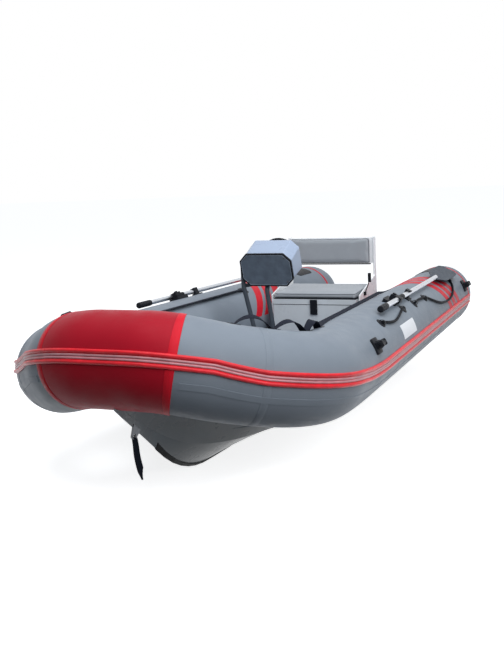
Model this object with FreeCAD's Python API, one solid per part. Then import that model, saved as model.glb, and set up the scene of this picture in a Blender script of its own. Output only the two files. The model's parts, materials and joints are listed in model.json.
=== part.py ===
import FreeCAD, Part
import math
import os

Vector = FreeCAD.Vector

# Rigid inflatable boat with a steering console, a seat box and two oars.
# X to port, Y aft, Z up, origin on the centre plane at the waterline. Millimetres.

# Buoyancy tube path, half of it, from the bow centre aft
TUBE_R = 225.0
BOW_Y = -1700.0
BOW_FLAT = 112.0
BOW_BEND_R = 350.0
BOW_BEND_DEG = 41.0
DIAGONAL = 240.0
SHOULDER_R = 490.0
TAPER_DEG = 2.5
STERN_Y = 1850.0
AFT_TUBE_Z = 225.0
BOW_RISE = 193.0
SHEER_LENGTH = 1100.0
SHEER_POWER = 3.2
CONE_LENGTH = 290.0
CONE_END_R = 95.0
BOW_CHAMBER_HALF = 600.0

# Strips and patches on the tube
PATCH_HALF = 262.0
PATCH_T = 2.5
STRAKE_W = 68.0
STRAKE_BASE_T = 4.0
# Each rib's low and high edge as shares of the strake's width, and its height
STRAKE_RIBS = ((-0.5, -0.2, 13.0), (-0.18, -0.01, 8.5), (0.01, 0.18, 8.5), (0.2, 0.5, 13.0))
STRAKE_SHOULDER = 0.2
STRAKE_SINK = 4.0
STRAKE_BOW_DEG = 15.0
STRAKE_AFT_DEG = -4.5

# Hull
KEEL_Z = -262.0
STEM_AHEAD = 124.0
STEM_TOP_Y = BOW_Y - STEM_AHEAD
STEM_TOP_Z = 218.0
STEM_DEG = 40.0
STEM_BEND_R = 700.0
STEM_EDGE_HALF = 4.0
CHINE_HALF = 430.0
CHINE_Z = -105.0
CHINE_FLAT = 28.0
HULL_END_Y = 1500.0
DECK_Z = 50.0
DECK_T = 10.0
FOREDECK_Z = 258.0
WELL_FRONT_Y = -1230.0
TRANSOM_T = 45.0
TRANSOM_WING_Z = 300.0
MOTOR_HEIGHT = 508.0
NOTCH_W = 460.0
NOTCH_SLOPE = 60.0

# Hull lines ahead, as distances aft of the stem's top
CHINE_START = 180.0
CHINE_FULL = 1500.0
FLAT_START = 450.0
FLAT_FULL = 900.0
FLARE_FULL = 1000.0
FLARE_HALF = 560.0
STEM_TOP_HALF = 14.0
CHINE_BOW_SHARE = 0.25
SIDE_SINK = 62.0
SIDE_START = 924.0
SIDE_FULL = 1124.0
WELL_SLOPE = 500.0
PAD_T = 8.0
PAD_W = 300.0
PAD_H = 260.0

# Console
CONSOLE_Y = -127.0
PLATE_W = 338.0
PLATE_H = 209.0
PLATE_T = 14.0
PLATE_CUT = 47.0
PLATE_Z = 647.0
PLATE_INSET = 4.0
POD_LENGTH = 156.0
POD_SLOPE_DEG = 23.0
POD_GROW = 25.0
CONSOLE_TILT_DEG = 16.0
FRAME_R = 14.0
FRAME_BEND = 45.0
LEG_BEHIND_PLATE = 47.0
FOOT_AFT = 100.0
OUTER_FOOT_X = -122.0
INNER_TOP_X = -28.0
INNER_FOOT_X = -10.0
BASE_T = 6.0
WHEEL_R = 120.0
WHEEL_ROD_R = 11.0
WHEEL_ABOVE_PLATE = 53.0
WHEEL_BEHIND_DASH = 70.0
SHAFT_R = 10.0
SHAFT_LENGTH = 130.0
SHAFT_CLEARANCE = 0.05
HUB_R = 26.0

# Seat
SEAT_FRONT_Y = 617.0
SEAT_DEPTH = 360.0
SEAT_SIDE_ROOM = 71.3
BOX_TOP_Z = 330.0
LID_T = 34.0
CUSHION_FRONT_T = 47.0
CUSHION_BACK_T = 72.0
CUSHION_SIDE_ROOM = 1.0
CUSHION_BACK_ROOM = 10.0
LATCH_W = 50.0
LATCH_T = 9.0
LATCH_BELOW_LID = 70.0
LATCH_ABOVE_RIM = 32.0
ARM_T = 8.0
ARM_DEPTH = 345.0
ARM_FRONT_RISE = 80.0
ARM_RISE = 180.0
WALL = 12.0
BACK_Y = 985.0
BACK_LOW_Z = 566.0
BACK_HIGH_Z = 756.0
BACK_T = 46.0
BACK_CUSHION_ROOM = 8.0
POST_W = 30.0
POST_T = 12.0
HINGE_BACK = 8.0
HINGE_PIN_R = 3.0
HINGE_KNUCKLE_R = 7.0
HINGE_X = 200.0

# Oars, lying on the tube beside its crest
OAR_PHI = 62.7
OAR_LIFT = 33.0
OAR_R = 15.0
GRIP_R = 19.0
GRIP_LENGTH = 130.0
ROWLOCK_Y = 50.0
OAR_FORWARD = 400.0
BLADE_START = 1030.0
OAR_AFT = 1570.0
BLADE_W = 150.0
BLADE_T = 8.0
BLADE_SOCKET = 60.0
CLIP_Y = 310.0
PIN_R = 6.0
PIN_INBOARD = 31.0
COLLAR_HALF_T = 17.0
COLLAR_HALF_L = 28.0

# Fittings
GAP = 0.3
ROPE_D = 15.0
ROPE_CLEAR = 2.4
ROPE_LIFT = ROPE_D / 2 + ROPE_CLEAR
WEBBING_W = 38.0
WEBBING_T = 3.0
WEBBING_LIFT = 2.2


def save(shape, name):
    """Write one sub-part."""
    os.makedirs("parts", exist_ok=True)
    if not shape.isValid():
        print("not valid:", name)
    shape.exportStep("parts/" + name + ".step")
    print(name, len(shape.Solids), round(shape.Volume / 1e6, 3))


def mirrored(shape):
    """The same shape on the starboard side."""
    return shape.mirror(Vector(0, 0, 0), Vector(1, 0, 0))


# Path of the tube's centre line
def plan_point(s):
    """Point and heading in plan at arc length s from the bow centre."""
    a = math.radians(BOW_BEND_DEG)
    b = math.radians(90.0 + TAPER_DEG)
    x, y, h = 0.0, BOW_Y, 0.0
    run = min(s, BOW_FLAT)
    x += run
    s -= run
    turn = min(s / BOW_BEND_R, a)
    x += BOW_BEND_R * math.sin(turn)
    y += BOW_BEND_R * (1 - math.cos(turn))
    h = turn
    s -= turn * BOW_BEND_R
    run = min(s, DIAGONAL)
    x += run * math.cos(a)
    y += run * math.sin(a)
    s -= run
    turn = min(s / SHOULDER_R, b - a)
    if turn > 0:
        h = a + turn
        x += SHOULDER_R * (math.sin(h) - math.sin(a))
        y += SHOULDER_R * (math.cos(a) - math.cos(h))
        s -= turn * SHOULDER_R
    if h >= b - 1e-9:
        x += s * math.cos(b)
        y += s * math.sin(b)
    return x, y, h


def sheer(y):
    """Height of the tube's centre line at y."""
    left = max(1.0 - (y - BOW_Y) / SHEER_LENGTH, 0.0)
    return AFT_TUBE_Z + BOW_RISE * left ** SHEER_POWER


def centre(s):
    """Centre point of the tube, s negative to starboard."""
    x, y, _ = plan_point(abs(s))
    return Vector(math.copysign(x, s) if s else 0.0, y, sheer(y))


def frame(s):
    """Centre, aft direction, outward and up directions at s."""
    side = -1.0 if s < 0 else 1.0
    _, y, h = plan_point(abs(s))
    left = max(1.0 - (y - BOW_Y) / SHEER_LENGTH, 0.0)
    slope = -BOW_RISE * SHEER_POWER / SHEER_LENGTH * left ** (SHEER_POWER - 1)
    along = Vector(math.cos(h), math.sin(h), slope * math.sin(h))
    if side < 0:
        along = Vector(along.x, -along.y, -along.z)
    along.normalize()
    out = along.cross(Vector(0, 0, 1))
    out.normalize()
    up = out.cross(along)
    return centre(s), along, out, up


def s_at(y):
    """Arc length of the straight aft part at y."""
    low, high = 0.0, 6000.0
    for _ in range(60):
        mid = (low + high) / 2
        if plan_point(mid)[1] < y:
            low = mid
        else:
            high = mid
    return low


S_END = s_at(STERN_Y)
S_STRAIGHT = s_at(BOW_Y + SHEER_LENGTH)
STATION_STEP = 95.0


def placed(shape, s, phi_deg=0.0, lift=0.0):
    """Move a shape drawn with X outward, Y across, Z along onto the tube."""
    point, along, out, up = frame(s)
    a = math.radians(phi_deg)
    normal = out * math.cos(a) + up * math.sin(a)
    across = up * math.cos(a) - out * math.sin(a)
    origin = point + normal * lift
    back = normal.cross(across)
    matrix = FreeCAD.Matrix(
        normal.x, across.x, back.x, origin.x,
        normal.y, across.y, back.y, origin.y,
        normal.z, across.z, back.z, origin.z,
        0, 0, 0, 1)
    copy = shape.copy()
    copy.Placement = FreeCAD.Placement(matrix).multiply(copy.Placement)
    return copy


def surface_point(s, phi_deg, lift=0.0):
    """Point at angle phi above the outward side, lift off the tube's skin."""
    point, _, out, up = frame(s)
    a = math.radians(phi_deg)
    return point + (out * math.cos(a) + up * math.sin(a)) * (TUBE_R + lift)


def stations(first, last):
    """Arc lengths for the sections of a loft, evenly spaced."""
    count = max(2, round((last - first) / STATION_STEP))
    return [first + (last - first) * k / count for k in range(count + 1)]


def loft(wires):
    return Part.makeLoft(wires, True, False)


def along_tube(wire, first, last, angle=None):
    """Carry a section along the tube: a loft through the bends, straight behind them."""
    turn = angle if angle else (lambda s: 0.0)
    pieces = []
    if first < S_STRAIGHT:
        bend_last = min(last, S_STRAIGHT)
        pieces.append(loft([placed(wire, s, turn(s)) for s in stations(first, bend_last)]))
    if last > S_STRAIGHT:
        start = max(first, S_STRAIGHT)
        face = Part.Face(placed(wire, start, turn(start)))
        pieces.append(face.extrude(frame(start)[1] * (last - start)))
    if len(pieces) == 1:
        return pieces[0]
    return pieces[0].fuse(pieces[1])


def ring_wire(radius):
    return Part.Wire([Part.makeCircle(radius, Vector(0, 0, 0), Vector(0, 0, 1))])


def tube_part(first, last, radius=TUBE_R):
    return along_tube(ring_wire(radius), first, last)


def polar(radius, deg):
    a = math.radians(deg)
    return Vector(radius * math.cos(a), radius * math.sin(a), 0)


def strake_angle(s):
    left = max(1.0 - (plan_point(abs(s))[1] - BOW_Y) / SHEER_LENGTH, 0.0)
    return STRAKE_AFT_DEG + (STRAKE_BOW_DEG - STRAKE_AFT_DEG) * left ** 1.5


def strake_wire(inner):
    """Band with its ribs, its inner side on what carries it."""
    width_deg = math.degrees(STRAKE_W / TUBE_R)
    base = TUBE_R + STRAKE_BASE_T
    outer = []
    for low, high, height in STRAKE_RIBS:
        shoulder = STRAKE_SHOULDER * (high - low)
        top = TUBE_R + height
        outer += [polar(base, width_deg * low), polar(top, width_deg * (low + shoulder)),
                  polar(top, width_deg * (high - shoulder)), polar(base, width_deg * high)]
    first = polar(inner, width_deg * STRAKE_RIBS[0][0])
    last = polar(inner, width_deg * STRAKE_RIBS[-1][1])
    points = [first] + outer + [last]
    edges = [Part.LineSegment(a, b).toShape() for a, b in zip(points, points[1:])]
    edges.append(Part.Arc(last, polar(inner, 0), first).toShape())
    return Part.Wire(edges)


# Small solids
def largest(shape):
    return max(shape.Solids, key=lambda solid: solid.Volume)


def both_sides(shape):
    """The shape and its mirror image, in one compound."""
    return Part.makeCompound(shape.Solids + mirrored(shape).Solids)


def box(x0, x1, y0, y1, z0, z1):
    return Part.makeBox(x1 - x0, y1 - y0, z1 - z0, Vector(x0, y0, z0))


def rod(a, b, radius):
    return Part.makeCylinder(radius, (b - a).Length, a, b - a)


def prism(points, direction):
    face = Part.Face(Part.makePolygon(points + [points[0]]))
    return face.extrude(direction)


def rounded_rod(points, radius, bend):
    """Round bar through the points, its corners bent to one radius."""
    edges = []
    start = points[0]
    for before, corner, after in zip(points, points[1:], points[2:]):
        u = (before - corner).normalize()
        v = (after - corner).normalize()
        angle = u.getAngle(v)
        back = bend / math.tan(angle / 2)
        a = corner + u * back
        b = corner + v * back
        bisector = (u + v).normalize()
        mid = corner + bisector * (bend / math.sin(angle / 2) - bend)
        edges.append(Part.LineSegment(start, a).toShape())
        edges.append(Part.Arc(a, mid, b).toShape())
        start = b
    edges.append(Part.LineSegment(start, points[-1]).toShape())
    path = Part.Wire(edges)
    section = Part.Wire([Part.makeCircle(radius, points[0], points[1] - points[0])])
    return path.makePipeShell([section], True, True)


# Buoyancy tube
bow_chamber = tube_part(-BOW_CHAMBER_HALF, BOW_CHAMBER_HALF)
port_chamber = tube_part(BOW_CHAMBER_HALF, S_END)
starboard_chamber = mirrored(port_chamber)
save(bow_chamber, "bow_chamber")
save(port_chamber, "port_chamber")
save(starboard_chamber, "starboard_chamber")


def stern_cone():
    """Round ended cone behind the side chamber."""
    shoulder = CONE_LENGTH * 0.45
    profile = [
        Part.LineSegment(Vector(0, 0, 0), Vector(TUBE_R, 0, 0)).toShape(),
        Part.Arc(Vector(TUBE_R, 0, 0), Vector(TUBE_R * 0.955, 0, -shoulder),
                 Vector(TUBE_R * 0.78, 0, -CONE_LENGTH * 0.78)).toShape(),
        Part.LineSegment(Vector(TUBE_R * 0.78, 0, -CONE_LENGTH * 0.78),
                         Vector(CONE_END_R, 0, -CONE_LENGTH)).toShape(),
        Part.LineSegment(Vector(CONE_END_R, 0, -CONE_LENGTH), Vector(0, 0, -CONE_LENGTH)).toShape(),
        Part.LineSegment(Vector(0, 0, -CONE_LENGTH), Vector(0, 0, 0)).toShape(),
    ]
    face = Part.Face(Part.Wire(profile))
    solid = face.revolve(Vector(0, 0, 0), Vector(0, 0, 1), 360)
    return placed(solid, S_END)


port_stern_cone = stern_cone()
save(port_stern_cone, "port_stern_cone")
save(mirrored(port_stern_cone), "starboard_stern_cone")

bow_skin = tube_part(-BOW_CHAMBER_HALF, BOW_CHAMBER_HALF, TUBE_R + PATCH_T)
BEYOND = 2 * TUBE_R
beyond_box = Part.makeBox(2 * BEYOND, 2 * BEYOND, BEYOND, Vector(-BEYOND, -BEYOND, -BEYOND))
beyond_port = placed(beyond_box, PATCH_HALF)
bow_patch = bow_skin.cut([beyond_port, mirrored(beyond_port)]).cut(bow_chamber)
save(bow_patch, "bow_patch")

strake_section = strake_wire(TUBE_R - STRAKE_SINK)
rub_strake_bow = along_tube(strake_section, -PATCH_HALF, PATCH_HALF, strake_angle)
rub_strake_bow = largest(rub_strake_bow.cut(bow_chamber).cut(bow_patch))
save(rub_strake_bow, "rub_strake_bow")
rub_strake_port = along_tube(strake_section, PATCH_HALF, S_END, strake_angle)
rub_strake_port = largest(rub_strake_port.cut(bow_chamber).cut(port_chamber))
save(rub_strake_port, "rub_strake_port")
save(mirrored(rub_strake_port), "rub_strake_starboard")


# Hull
def keel_z(y):
    """Height of the keel line at y."""
    a = math.radians(STEM_DEG)
    bend_top = KEEL_Z + STEM_BEND_R * (1 - math.cos(a))
    bend_start = STEM_TOP_Y + (STEM_TOP_Z - bend_top) / math.tan(a)
    flat_start = bend_start + STEM_BEND_R * math.sin(a)
    if y < bend_start:
        return STEM_TOP_Z - (y - STEM_TOP_Y) * math.tan(a)
    if y < flat_start:
        t = flat_start - y
        return KEEL_Z + STEM_BEND_R - math.sqrt(STEM_BEND_R ** 2 - t ** 2)
    return KEEL_Z


def blend(y, start, end):
    """Zero before start, one after end, smooth between."""
    t = min(max((y - start) / (end - start), 0.0), 1.0)
    return t * t * (3 - 2 * t)


def hull_half(y):
    """Half section of the hull at y: keel, chine, chine edge, top corner."""
    aft = y - STEM_TOP_Y
    grow = min(max(aft / FLARE_FULL, 0.0), 1.0)
    chine_x = STEM_EDGE_HALF + (CHINE_HALF - STEM_EDGE_HALF) * blend(aft, CHINE_START, CHINE_FULL) ** 0.75
    flat = CHINE_FLAT * blend(aft, FLAT_START, FLAT_FULL) + 1.0
    low = keel_z(y)
    chine_share = CHINE_BOW_SHARE + (1 - CHINE_BOW_SHARE) * blend(aft, 0.0, FLAT_FULL)
    chine_z = low + (CHINE_Z - KEEL_Z) * chine_share
    x_tube = centre(s_at(max(y, BOW_Y + 40.0))).x
    flared_x = min(STEM_TOP_HALF + FLARE_HALF * math.sin(grow * math.pi / 2) ** 0.8, x_tube)
    to_side = blend(aft, SIDE_START, SIDE_FULL)
    top_x = flared_x * (1 - to_side) + (x_tube - SIDE_SINK) * to_side
    top_z = DECK_Z + (sheer(y) - DECK_Z) * (1 - blend(y, WELL_FRONT_Y, WELL_FRONT_Y + WELL_SLOPE))
    edge_x = chine_x + flat
    return [(0.0, low), (chine_x, chine_z), (edge_x, chine_z), (max(top_x, edge_x + 6.0), top_z)]


HULL_BOW_Y = STEM_TOP_Y + 6.0
HULL_STRAIGHT_Y = -300.0
HULL_STATIONS = 12


def hull_wire(y):
    half = hull_half(y)
    port = [Vector(x, y, z) for x, z in half]
    other = [Vector(-x, y, z) for x, z in reversed(half[1:])]
    return Part.makePolygon(port + other + [port[0]])


hull_ys = [HULL_BOW_Y + (HULL_STRAIGHT_Y - HULL_BOW_Y) * k / HULL_STATIONS for k in range(HULL_STATIONS + 1)]
hull_form = loft([hull_wire(y) for y in hull_ys])
hull_form = hull_form.fuse(Part.makeLoft([hull_wire(HULL_STRAIGHT_Y), hull_wire(HULL_END_Y)], True, True))
WIDE = 1200.0
HIGH = 900.0
well = box(-WIDE, WIDE, WELL_FRONT_Y, HULL_END_Y + 10, DECK_Z - DECK_T, HIGH)
above = box(-WIDE, WIDE, BOW_Y - TUBE_R - 10, WELL_FRONT_Y, FOREDECK_Z, HIGH)
hull = hull_form
for cutter in (well, above, bow_chamber, port_chamber, starboard_chamber, bow_patch):
    hull = hull.cut(cutter)
hull = largest(hull)
save(hull, "hull")

deck = hull_form.common(box(-WIDE, WIDE, WELL_FRONT_Y, HULL_END_Y, DECK_Z - DECK_T, DECK_Z))
for cutter in (bow_chamber, port_chamber, starboard_chamber):
    deck = deck.cut(cutter)
deck = largest(deck)
save(deck, "deck")


# Transom
def transom_shape():
    y = HULL_END_Y
    low = [Vector(x, y, z) for x, z in hull_half(y)]
    half_w = centre(s_at(y)).x - 20.0
    notch_z = KEEL_Z + MOTOR_HEIGHT
    half = low + [Vector(half_w, y, DECK_Z), Vector(half_w, y, TRANSOM_WING_Z),
                  Vector(NOTCH_W / 2 + NOTCH_SLOPE, y, TRANSOM_WING_Z), Vector(NOTCH_W / 2, y, notch_z)]
    points = half + [Vector(-p.x, p.y, p.z) for p in reversed(half[1:])]
    return prism(points, Vector(0, TRANSOM_T, 0))


transom = transom_shape()
for cutter in (port_chamber, starboard_chamber):
    transom = transom.cut(cutter)
DRAIN_R = 14.0
DRAIN_X = 215.0
DRAIN_Z = DECK_Z + 30.0
transom_back_y = HULL_END_Y + TRANSOM_T
drain = rod(Vector(DRAIN_X, HULL_END_Y - 1, DRAIN_Z), Vector(DRAIN_X, transom_back_y + 1, DRAIN_Z), DRAIN_R)
save(largest(transom).cut(drain), "transom")
FLANGE_T = 5.0
plug = rod(Vector(DRAIN_X, HULL_END_Y + 4.0, DRAIN_Z), Vector(DRAIN_X, transom_back_y, DRAIN_Z), DRAIN_R)
flange = rod(Vector(DRAIN_X, transom_back_y, DRAIN_Z), Vector(DRAIN_X, transom_back_y + FLANGE_T, DRAIN_Z),
             DRAIN_R + 7.0)
knob = box(DRAIN_X - 3.0, DRAIN_X + 3.0, transom_back_y + FLANGE_T, transom_back_y + FLANGE_T + 9.0,
           DRAIN_Z - 12.0, DRAIN_Z + 12.0)
save(plug.fuse([flange, knob]), "drain_plug")

# Tow eyes on the transom
TOW_X = 330.0
TOW_Z = 70.0
TOW_T = 10.0
TOW_R = 20.0
TOW_HOLE_R = 8.0
TOW_REACH = 24.0
tow_y = transom_back_y + TOW_REACH
tow_plate = box(TOW_X - 34, TOW_X + 34, transom_back_y, transom_back_y + FLANGE_T, TOW_Z - 22, TOW_Z + 22)
tow_lug = box(TOW_X - TOW_R, TOW_X + TOW_R, transom_back_y, tow_y, TOW_Z - TOW_T / 2, TOW_Z + TOW_T / 2)
tow_round = Part.makeCylinder(TOW_R, TOW_T, Vector(TOW_X, tow_y, TOW_Z - TOW_T / 2))
tow_hole = Part.makeCylinder(TOW_HOLE_R, 4 * TOW_T, Vector(TOW_X, tow_y, TOW_Z - 2 * TOW_T))
save(both_sides(tow_plate.fuse([tow_lug, tow_round]).cut(tow_hole)), "tow_eyes")

MOTOR_Z = KEEL_Z + MOTOR_HEIGHT
outer_pad = box(-PAD_W / 2, PAD_W / 2, transom_back_y, transom_back_y + PAD_T, MOTOR_Z - PAD_H, MOTOR_Z)
inner_pad = box(-PAD_W / 2, PAD_W / 2, HULL_END_Y - PAD_T, HULL_END_Y, MOTOR_Z - 110.0, MOTOR_Z)
save(Part.makeCompound([outer_pad, inner_pad]), "motor_pads")


# Keel guard
GUARD_START = STEM_TOP_Y + 324.0
GUARD_END = HULL_END_Y - 100.0
GUARD_T = 8.0
GUARD_HALF = 16.0


def guard_wire(y):
    half = hull_half(y)
    rise = (half[1][1] - half[0][1]) / half[1][0]
    low = half[0][1] - GUARD_T
    side = low + rise * GUARD_HALF
    points = [Vector(0, y, low), Vector(GUARD_HALF, y, side), Vector(GUARD_HALF, y, side + 40),
              Vector(-GUARD_HALF, y, side + 40), Vector(-GUARD_HALF, y, side)]
    return Part.makePolygon(points + [points[0]])


GUARD_STATIONS = 16
guard_ys = [GUARD_START + (HULL_STRAIGHT_Y - GUARD_START) * k / GUARD_STATIONS for k in range(GUARD_STATIONS + 1)]
guard = Part.makeLoft([guard_wire(y) for y in guard_ys + [GUARD_END]], True, True)
guard = guard.cut(hull)
save(min(guard.Solids, key=lambda solid: solid.BoundBox.ZMin), "keel_guard")

# Bow eye: a lug plate on the stem with a hole for a shackle
EYE_Y = BOW_Y + 42.0
EYE_T = 8.0
EYE_HOLE_R = 9.0
eye_z = keel_z(EYE_Y)
eye_out = Vector(0, -math.sin(math.radians(STEM_DEG)), -math.cos(math.radians(STEM_DEG)))
eye_along = Vector(0, math.cos(math.radians(STEM_DEG)), -math.sin(math.radians(STEM_DEG)))
eye_root = Vector(0, EYE_Y, eye_z)
eye_hole = eye_root + eye_out * 26.0
hole = Part.makeCylinder(EYE_HOLE_R, 40, eye_hole + Vector(-20, 0, 0), Vector(1, 0, 0))
lug_blank = prism([eye_root - eye_along * 34 - eye_out * 16, eye_root - eye_along * 16 + eye_out * 44,
                   eye_root + eye_along * 16 + eye_out * 44, eye_root + eye_along * 34 - eye_out * 16],
                  Vector(EYE_T, 0, 0))
lug_blank.translate(Vector(-EYE_T / 2, 0, 0))
bow_eye = largest(lug_blank.cut(hull).cut(hole))
save(bow_eye, "bow_eye")
print("bow eye hole at", eye_hole)

# Strap that hangs from the bow eye, its route as points
STRAP_W = 26.0
STRAP_T = 5.0
STRAP_STEPS = [(0.0, -10.0), (5.0, -50.0), (5.0, -95.0), (14.0, -140.0), (27.0, -184.0), (42.0, -226.0)]
strap_points = [eye_hole + Vector(0, dy, dz) for dy, dz in STRAP_STEPS]


def soft_path(points):
    """Straight runs joined by arcs as large as the runs allow, and the radii of the arcs."""
    edges = []
    radii = []
    start = points[0]
    for before, corner, after in zip(points, points[1:], points[2:]):
        u = before - corner
        v = after - corner
        back = 0.45 * min(u.Length, v.Length)
        u.normalize()
        v.normalize()
        half = u.getAngle(v) / 2
        radius = back * math.tan(half)
        bisector = (u + v).normalize()
        a = corner + u * back
        b = corner + v * back
        mid = corner + bisector * (radius / math.sin(half) - radius)
        edges.append(Part.LineSegment(start, a).toShape())
        edges.append(Part.Arc(a, mid, b).toShape())
        radii.append(round(radius))
        start = b
    edges.append(Part.LineSegment(start, points[-1]).toShape())
    return Part.Wire(edges), radii


strap_path, strap_radii = soft_path(strap_points)
print("strap radii", strap_radii, "length", round(strap_path.Length, 1))
strap_first = strap_points[1] - strap_points[0]
strap_section = box(-STRAP_W / 2, STRAP_W / 2, -STRAP_T / 2, STRAP_T / 2, 0, 1).Faces
strap_section = [face for face in strap_section if face.CenterOfMass.z < 0.01][0].OuterWire
lean = FreeCAD.Rotation(Vector(0, 0, -1), strap_first)
strap_section.Placement = FreeCAD.Placement(strap_points[0], lean)
save(largest(strap_path.makePipeShell([strap_section], True, True).cut(bow_eye)), "bow_strap")


# Console: plate, pod and dash lie square to one direction that rises aft
tilt = math.radians(CONSOLE_TILT_DEG)
back_dir = Vector(0, math.cos(tilt), math.sin(tilt))
rise_dir = Vector(0, -math.sin(tilt), math.cos(tilt))


def octagon(width, height, cut, middle):
    w, h = width / 2, height / 2
    corners = [(-w, -h + cut), (-w + cut, -h), (w - cut, -h), (w, -h + cut),
               (w, h - cut), (w - cut, h), (-w + cut, h), (-w, h - cut)]
    return [middle + Vector(a, 0, 0) + rise_dir * b for a, b in corners]


INSET_EDGE = 18.0
INSET_T = 3.0
plate_middle = Vector(0, CONSOLE_Y, PLATE_Z)
plate = prism(octagon(PLATE_W, PLATE_H, PLATE_CUT, plate_middle), back_dir * PLATE_T)
inset = prism(octagon(PLATE_W - 2 * INSET_EDGE, PLATE_H - 2 * INSET_EDGE, PLATE_CUT - 10.0, plate_middle - back_dir),
              back_dir * (INSET_T + 1.0))
save(plate.cut(inset), "console_plate")

pod_w = PLATE_W - 2 * PLATE_INSET
pod_h = PLATE_H - 2 * PLATE_INSET
pod_back_h = pod_h + POD_GROW
slope = math.radians(POD_SLOPE_DEG)
pod_front = plate_middle + back_dir * PLATE_T
pod_back = pod_front + Vector(0, math.cos(slope), math.sin(slope)) * POD_LENGTH


def dash_y(z):
    """Place of the pod's tilted back face at height z."""
    return pod_back.y - (z - pod_back.z) * math.tan(tilt)


pod_a = octagon(pod_w, pod_h, PLATE_CUT, pod_front)
pod_b = octagon(pod_w, pod_back_h, PLATE_CUT, pod_back)
pod = Part.makeLoft([Part.makePolygon(pod_a + [pod_a[0]]), Part.makePolygon(pod_b + [pod_b[0]])], True, True)
wheel_z = PLATE_Z + WHEEL_ABOVE_PLATE
wheel_centre = Vector(0, dash_y(wheel_z) + WHEEL_BEHIND_DASH, wheel_z)
shaft_in = wheel_centre - back_dir * SHAFT_LENGTH
pod = pod.cut(rod(shaft_in, wheel_centre, SHAFT_R + SHAFT_CLEARANCE))
save(pod, "console_pod")

wheel_rim = Part.makeTorus(WHEEL_R, WHEEL_ROD_R, wheel_centre, back_dir)
HUB_FRONT = 14.0
HUB_BACK = 12.0
SPOKE_R = 8.0
hub = rod(wheel_centre - back_dir * HUB_FRONT, wheel_centre + back_dir * HUB_BACK, HUB_R)
side_dir = Vector(1, 0, 0)
spokes = []
for deg in (90.0, 210.0, 330.0):
    a = math.radians(deg)
    ray = side_dir * math.cos(a) + rise_dir * math.sin(a)
    spokes.append(rod(wheel_centre + ray * (HUB_R - 6.0), wheel_centre + ray * (WHEEL_R - 2.0), SPOKE_R))
save(wheel_rim.fuse(spokes + [hub]), "steering_wheel")
save(rod(shaft_in + back_dir * GAP, wheel_centre - back_dir * HUB_FRONT, SHAFT_R), "steering_shaft")
print("steering axis", wheel_centre, back_dir)

# Console frame: an outer leg up the pod's starboard side, an inner leg under the pod, and their base
under_front = pod_front - rise_dir * pod_h / 2
under_back = pod_back - rise_dir * pod_back_h / 2
under_dir = (under_back - under_front).normalize()
under_down = Vector(0, under_dir.z, -under_dir.y)


def rail_point(x, y):
    """Point of a rail's axis under the pod's lower face."""
    share = (y - under_front.y) / (under_back.y - under_front.y)
    point = under_front + (under_back - under_front) * share + under_down * (FRAME_R + GAP)
    return Vector(x, point.y, point.z)


leg_y = CONSOLE_Y + LEG_BEHIND_PLATE
foot_y = leg_y + FOOT_AFT
outer_x = -(pod_w / 2 + FRAME_R + GAP)
outer_leg = rounded_rod([Vector(OUTER_FOOT_X, foot_y, DECK_Z + 1), Vector(outer_x, leg_y, rail_point(0, leg_y).z),
                         Vector(outer_x, leg_y, PLATE_Z + pod_h / 4)], FRAME_R, 2 * FRAME_BEND)
inner_leg = rounded_rod([Vector(INNER_FOOT_X, foot_y, DECK_Z + 1), rail_point(INNER_TOP_X, leg_y),
                         rail_point(INNER_TOP_X, under_back.y - 12.0)], FRAME_R, FRAME_BEND)
cross_y = leg_y + 2 * FRAME_BEND
crossbar = rod(rail_point(outer_x, leg_y + 6.0), rail_point(INNER_TOP_X, cross_y), FRAME_R - 2.0)
base = box(OUTER_FOOT_X - 45, INNER_FOOT_X + 45, foot_y - 70, foot_y + 110, DECK_Z, DECK_Z + BASE_T)
console_frame = outer_leg.fuse([inner_leg, crossbar, base])
console_frame = console_frame.common(box(-WIDE, WIDE, -WIDE, WIDE, DECK_Z, HIGH))
save(largest(console_frame), "console_frame")

# Seat box with a lid, its cushion and a backrest
half_seat = centre(s_at(BACK_Y)).x - TUBE_R - SEAT_SIDE_ROOM
print("half seat", half_seat)
box_back_y = SEAT_FRONT_Y + SEAT_DEPTH
outer_box = box(-half_seat, half_seat, SEAT_FRONT_Y, box_back_y, DECK_Z, BOX_TOP_Z)
inner_box = box(-half_seat + WALL, half_seat - WALL, SEAT_FRONT_Y + WALL, box_back_y - WALL,
                DECK_Z + WALL, BOX_TOP_Z + 1)
save(outer_box.cut(inner_box), "seat_box")
lid_low = BOX_TOP_Z + GAP
lid = box(-half_seat, half_seat, SEAT_FRONT_Y, box_back_y, lid_low, lid_low + LID_T)
hinge_y = box_back_y + HINGE_BACK
hinge_z = lid_low + 2.0
print("lid hinge", hinge_y, hinge_z)


def along_hinge(x0, x1, radius):
    return Part.makeCylinder(radius, x1 - x0, Vector(x0, hinge_y, hinge_z), Vector(1, 0, 0))


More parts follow.
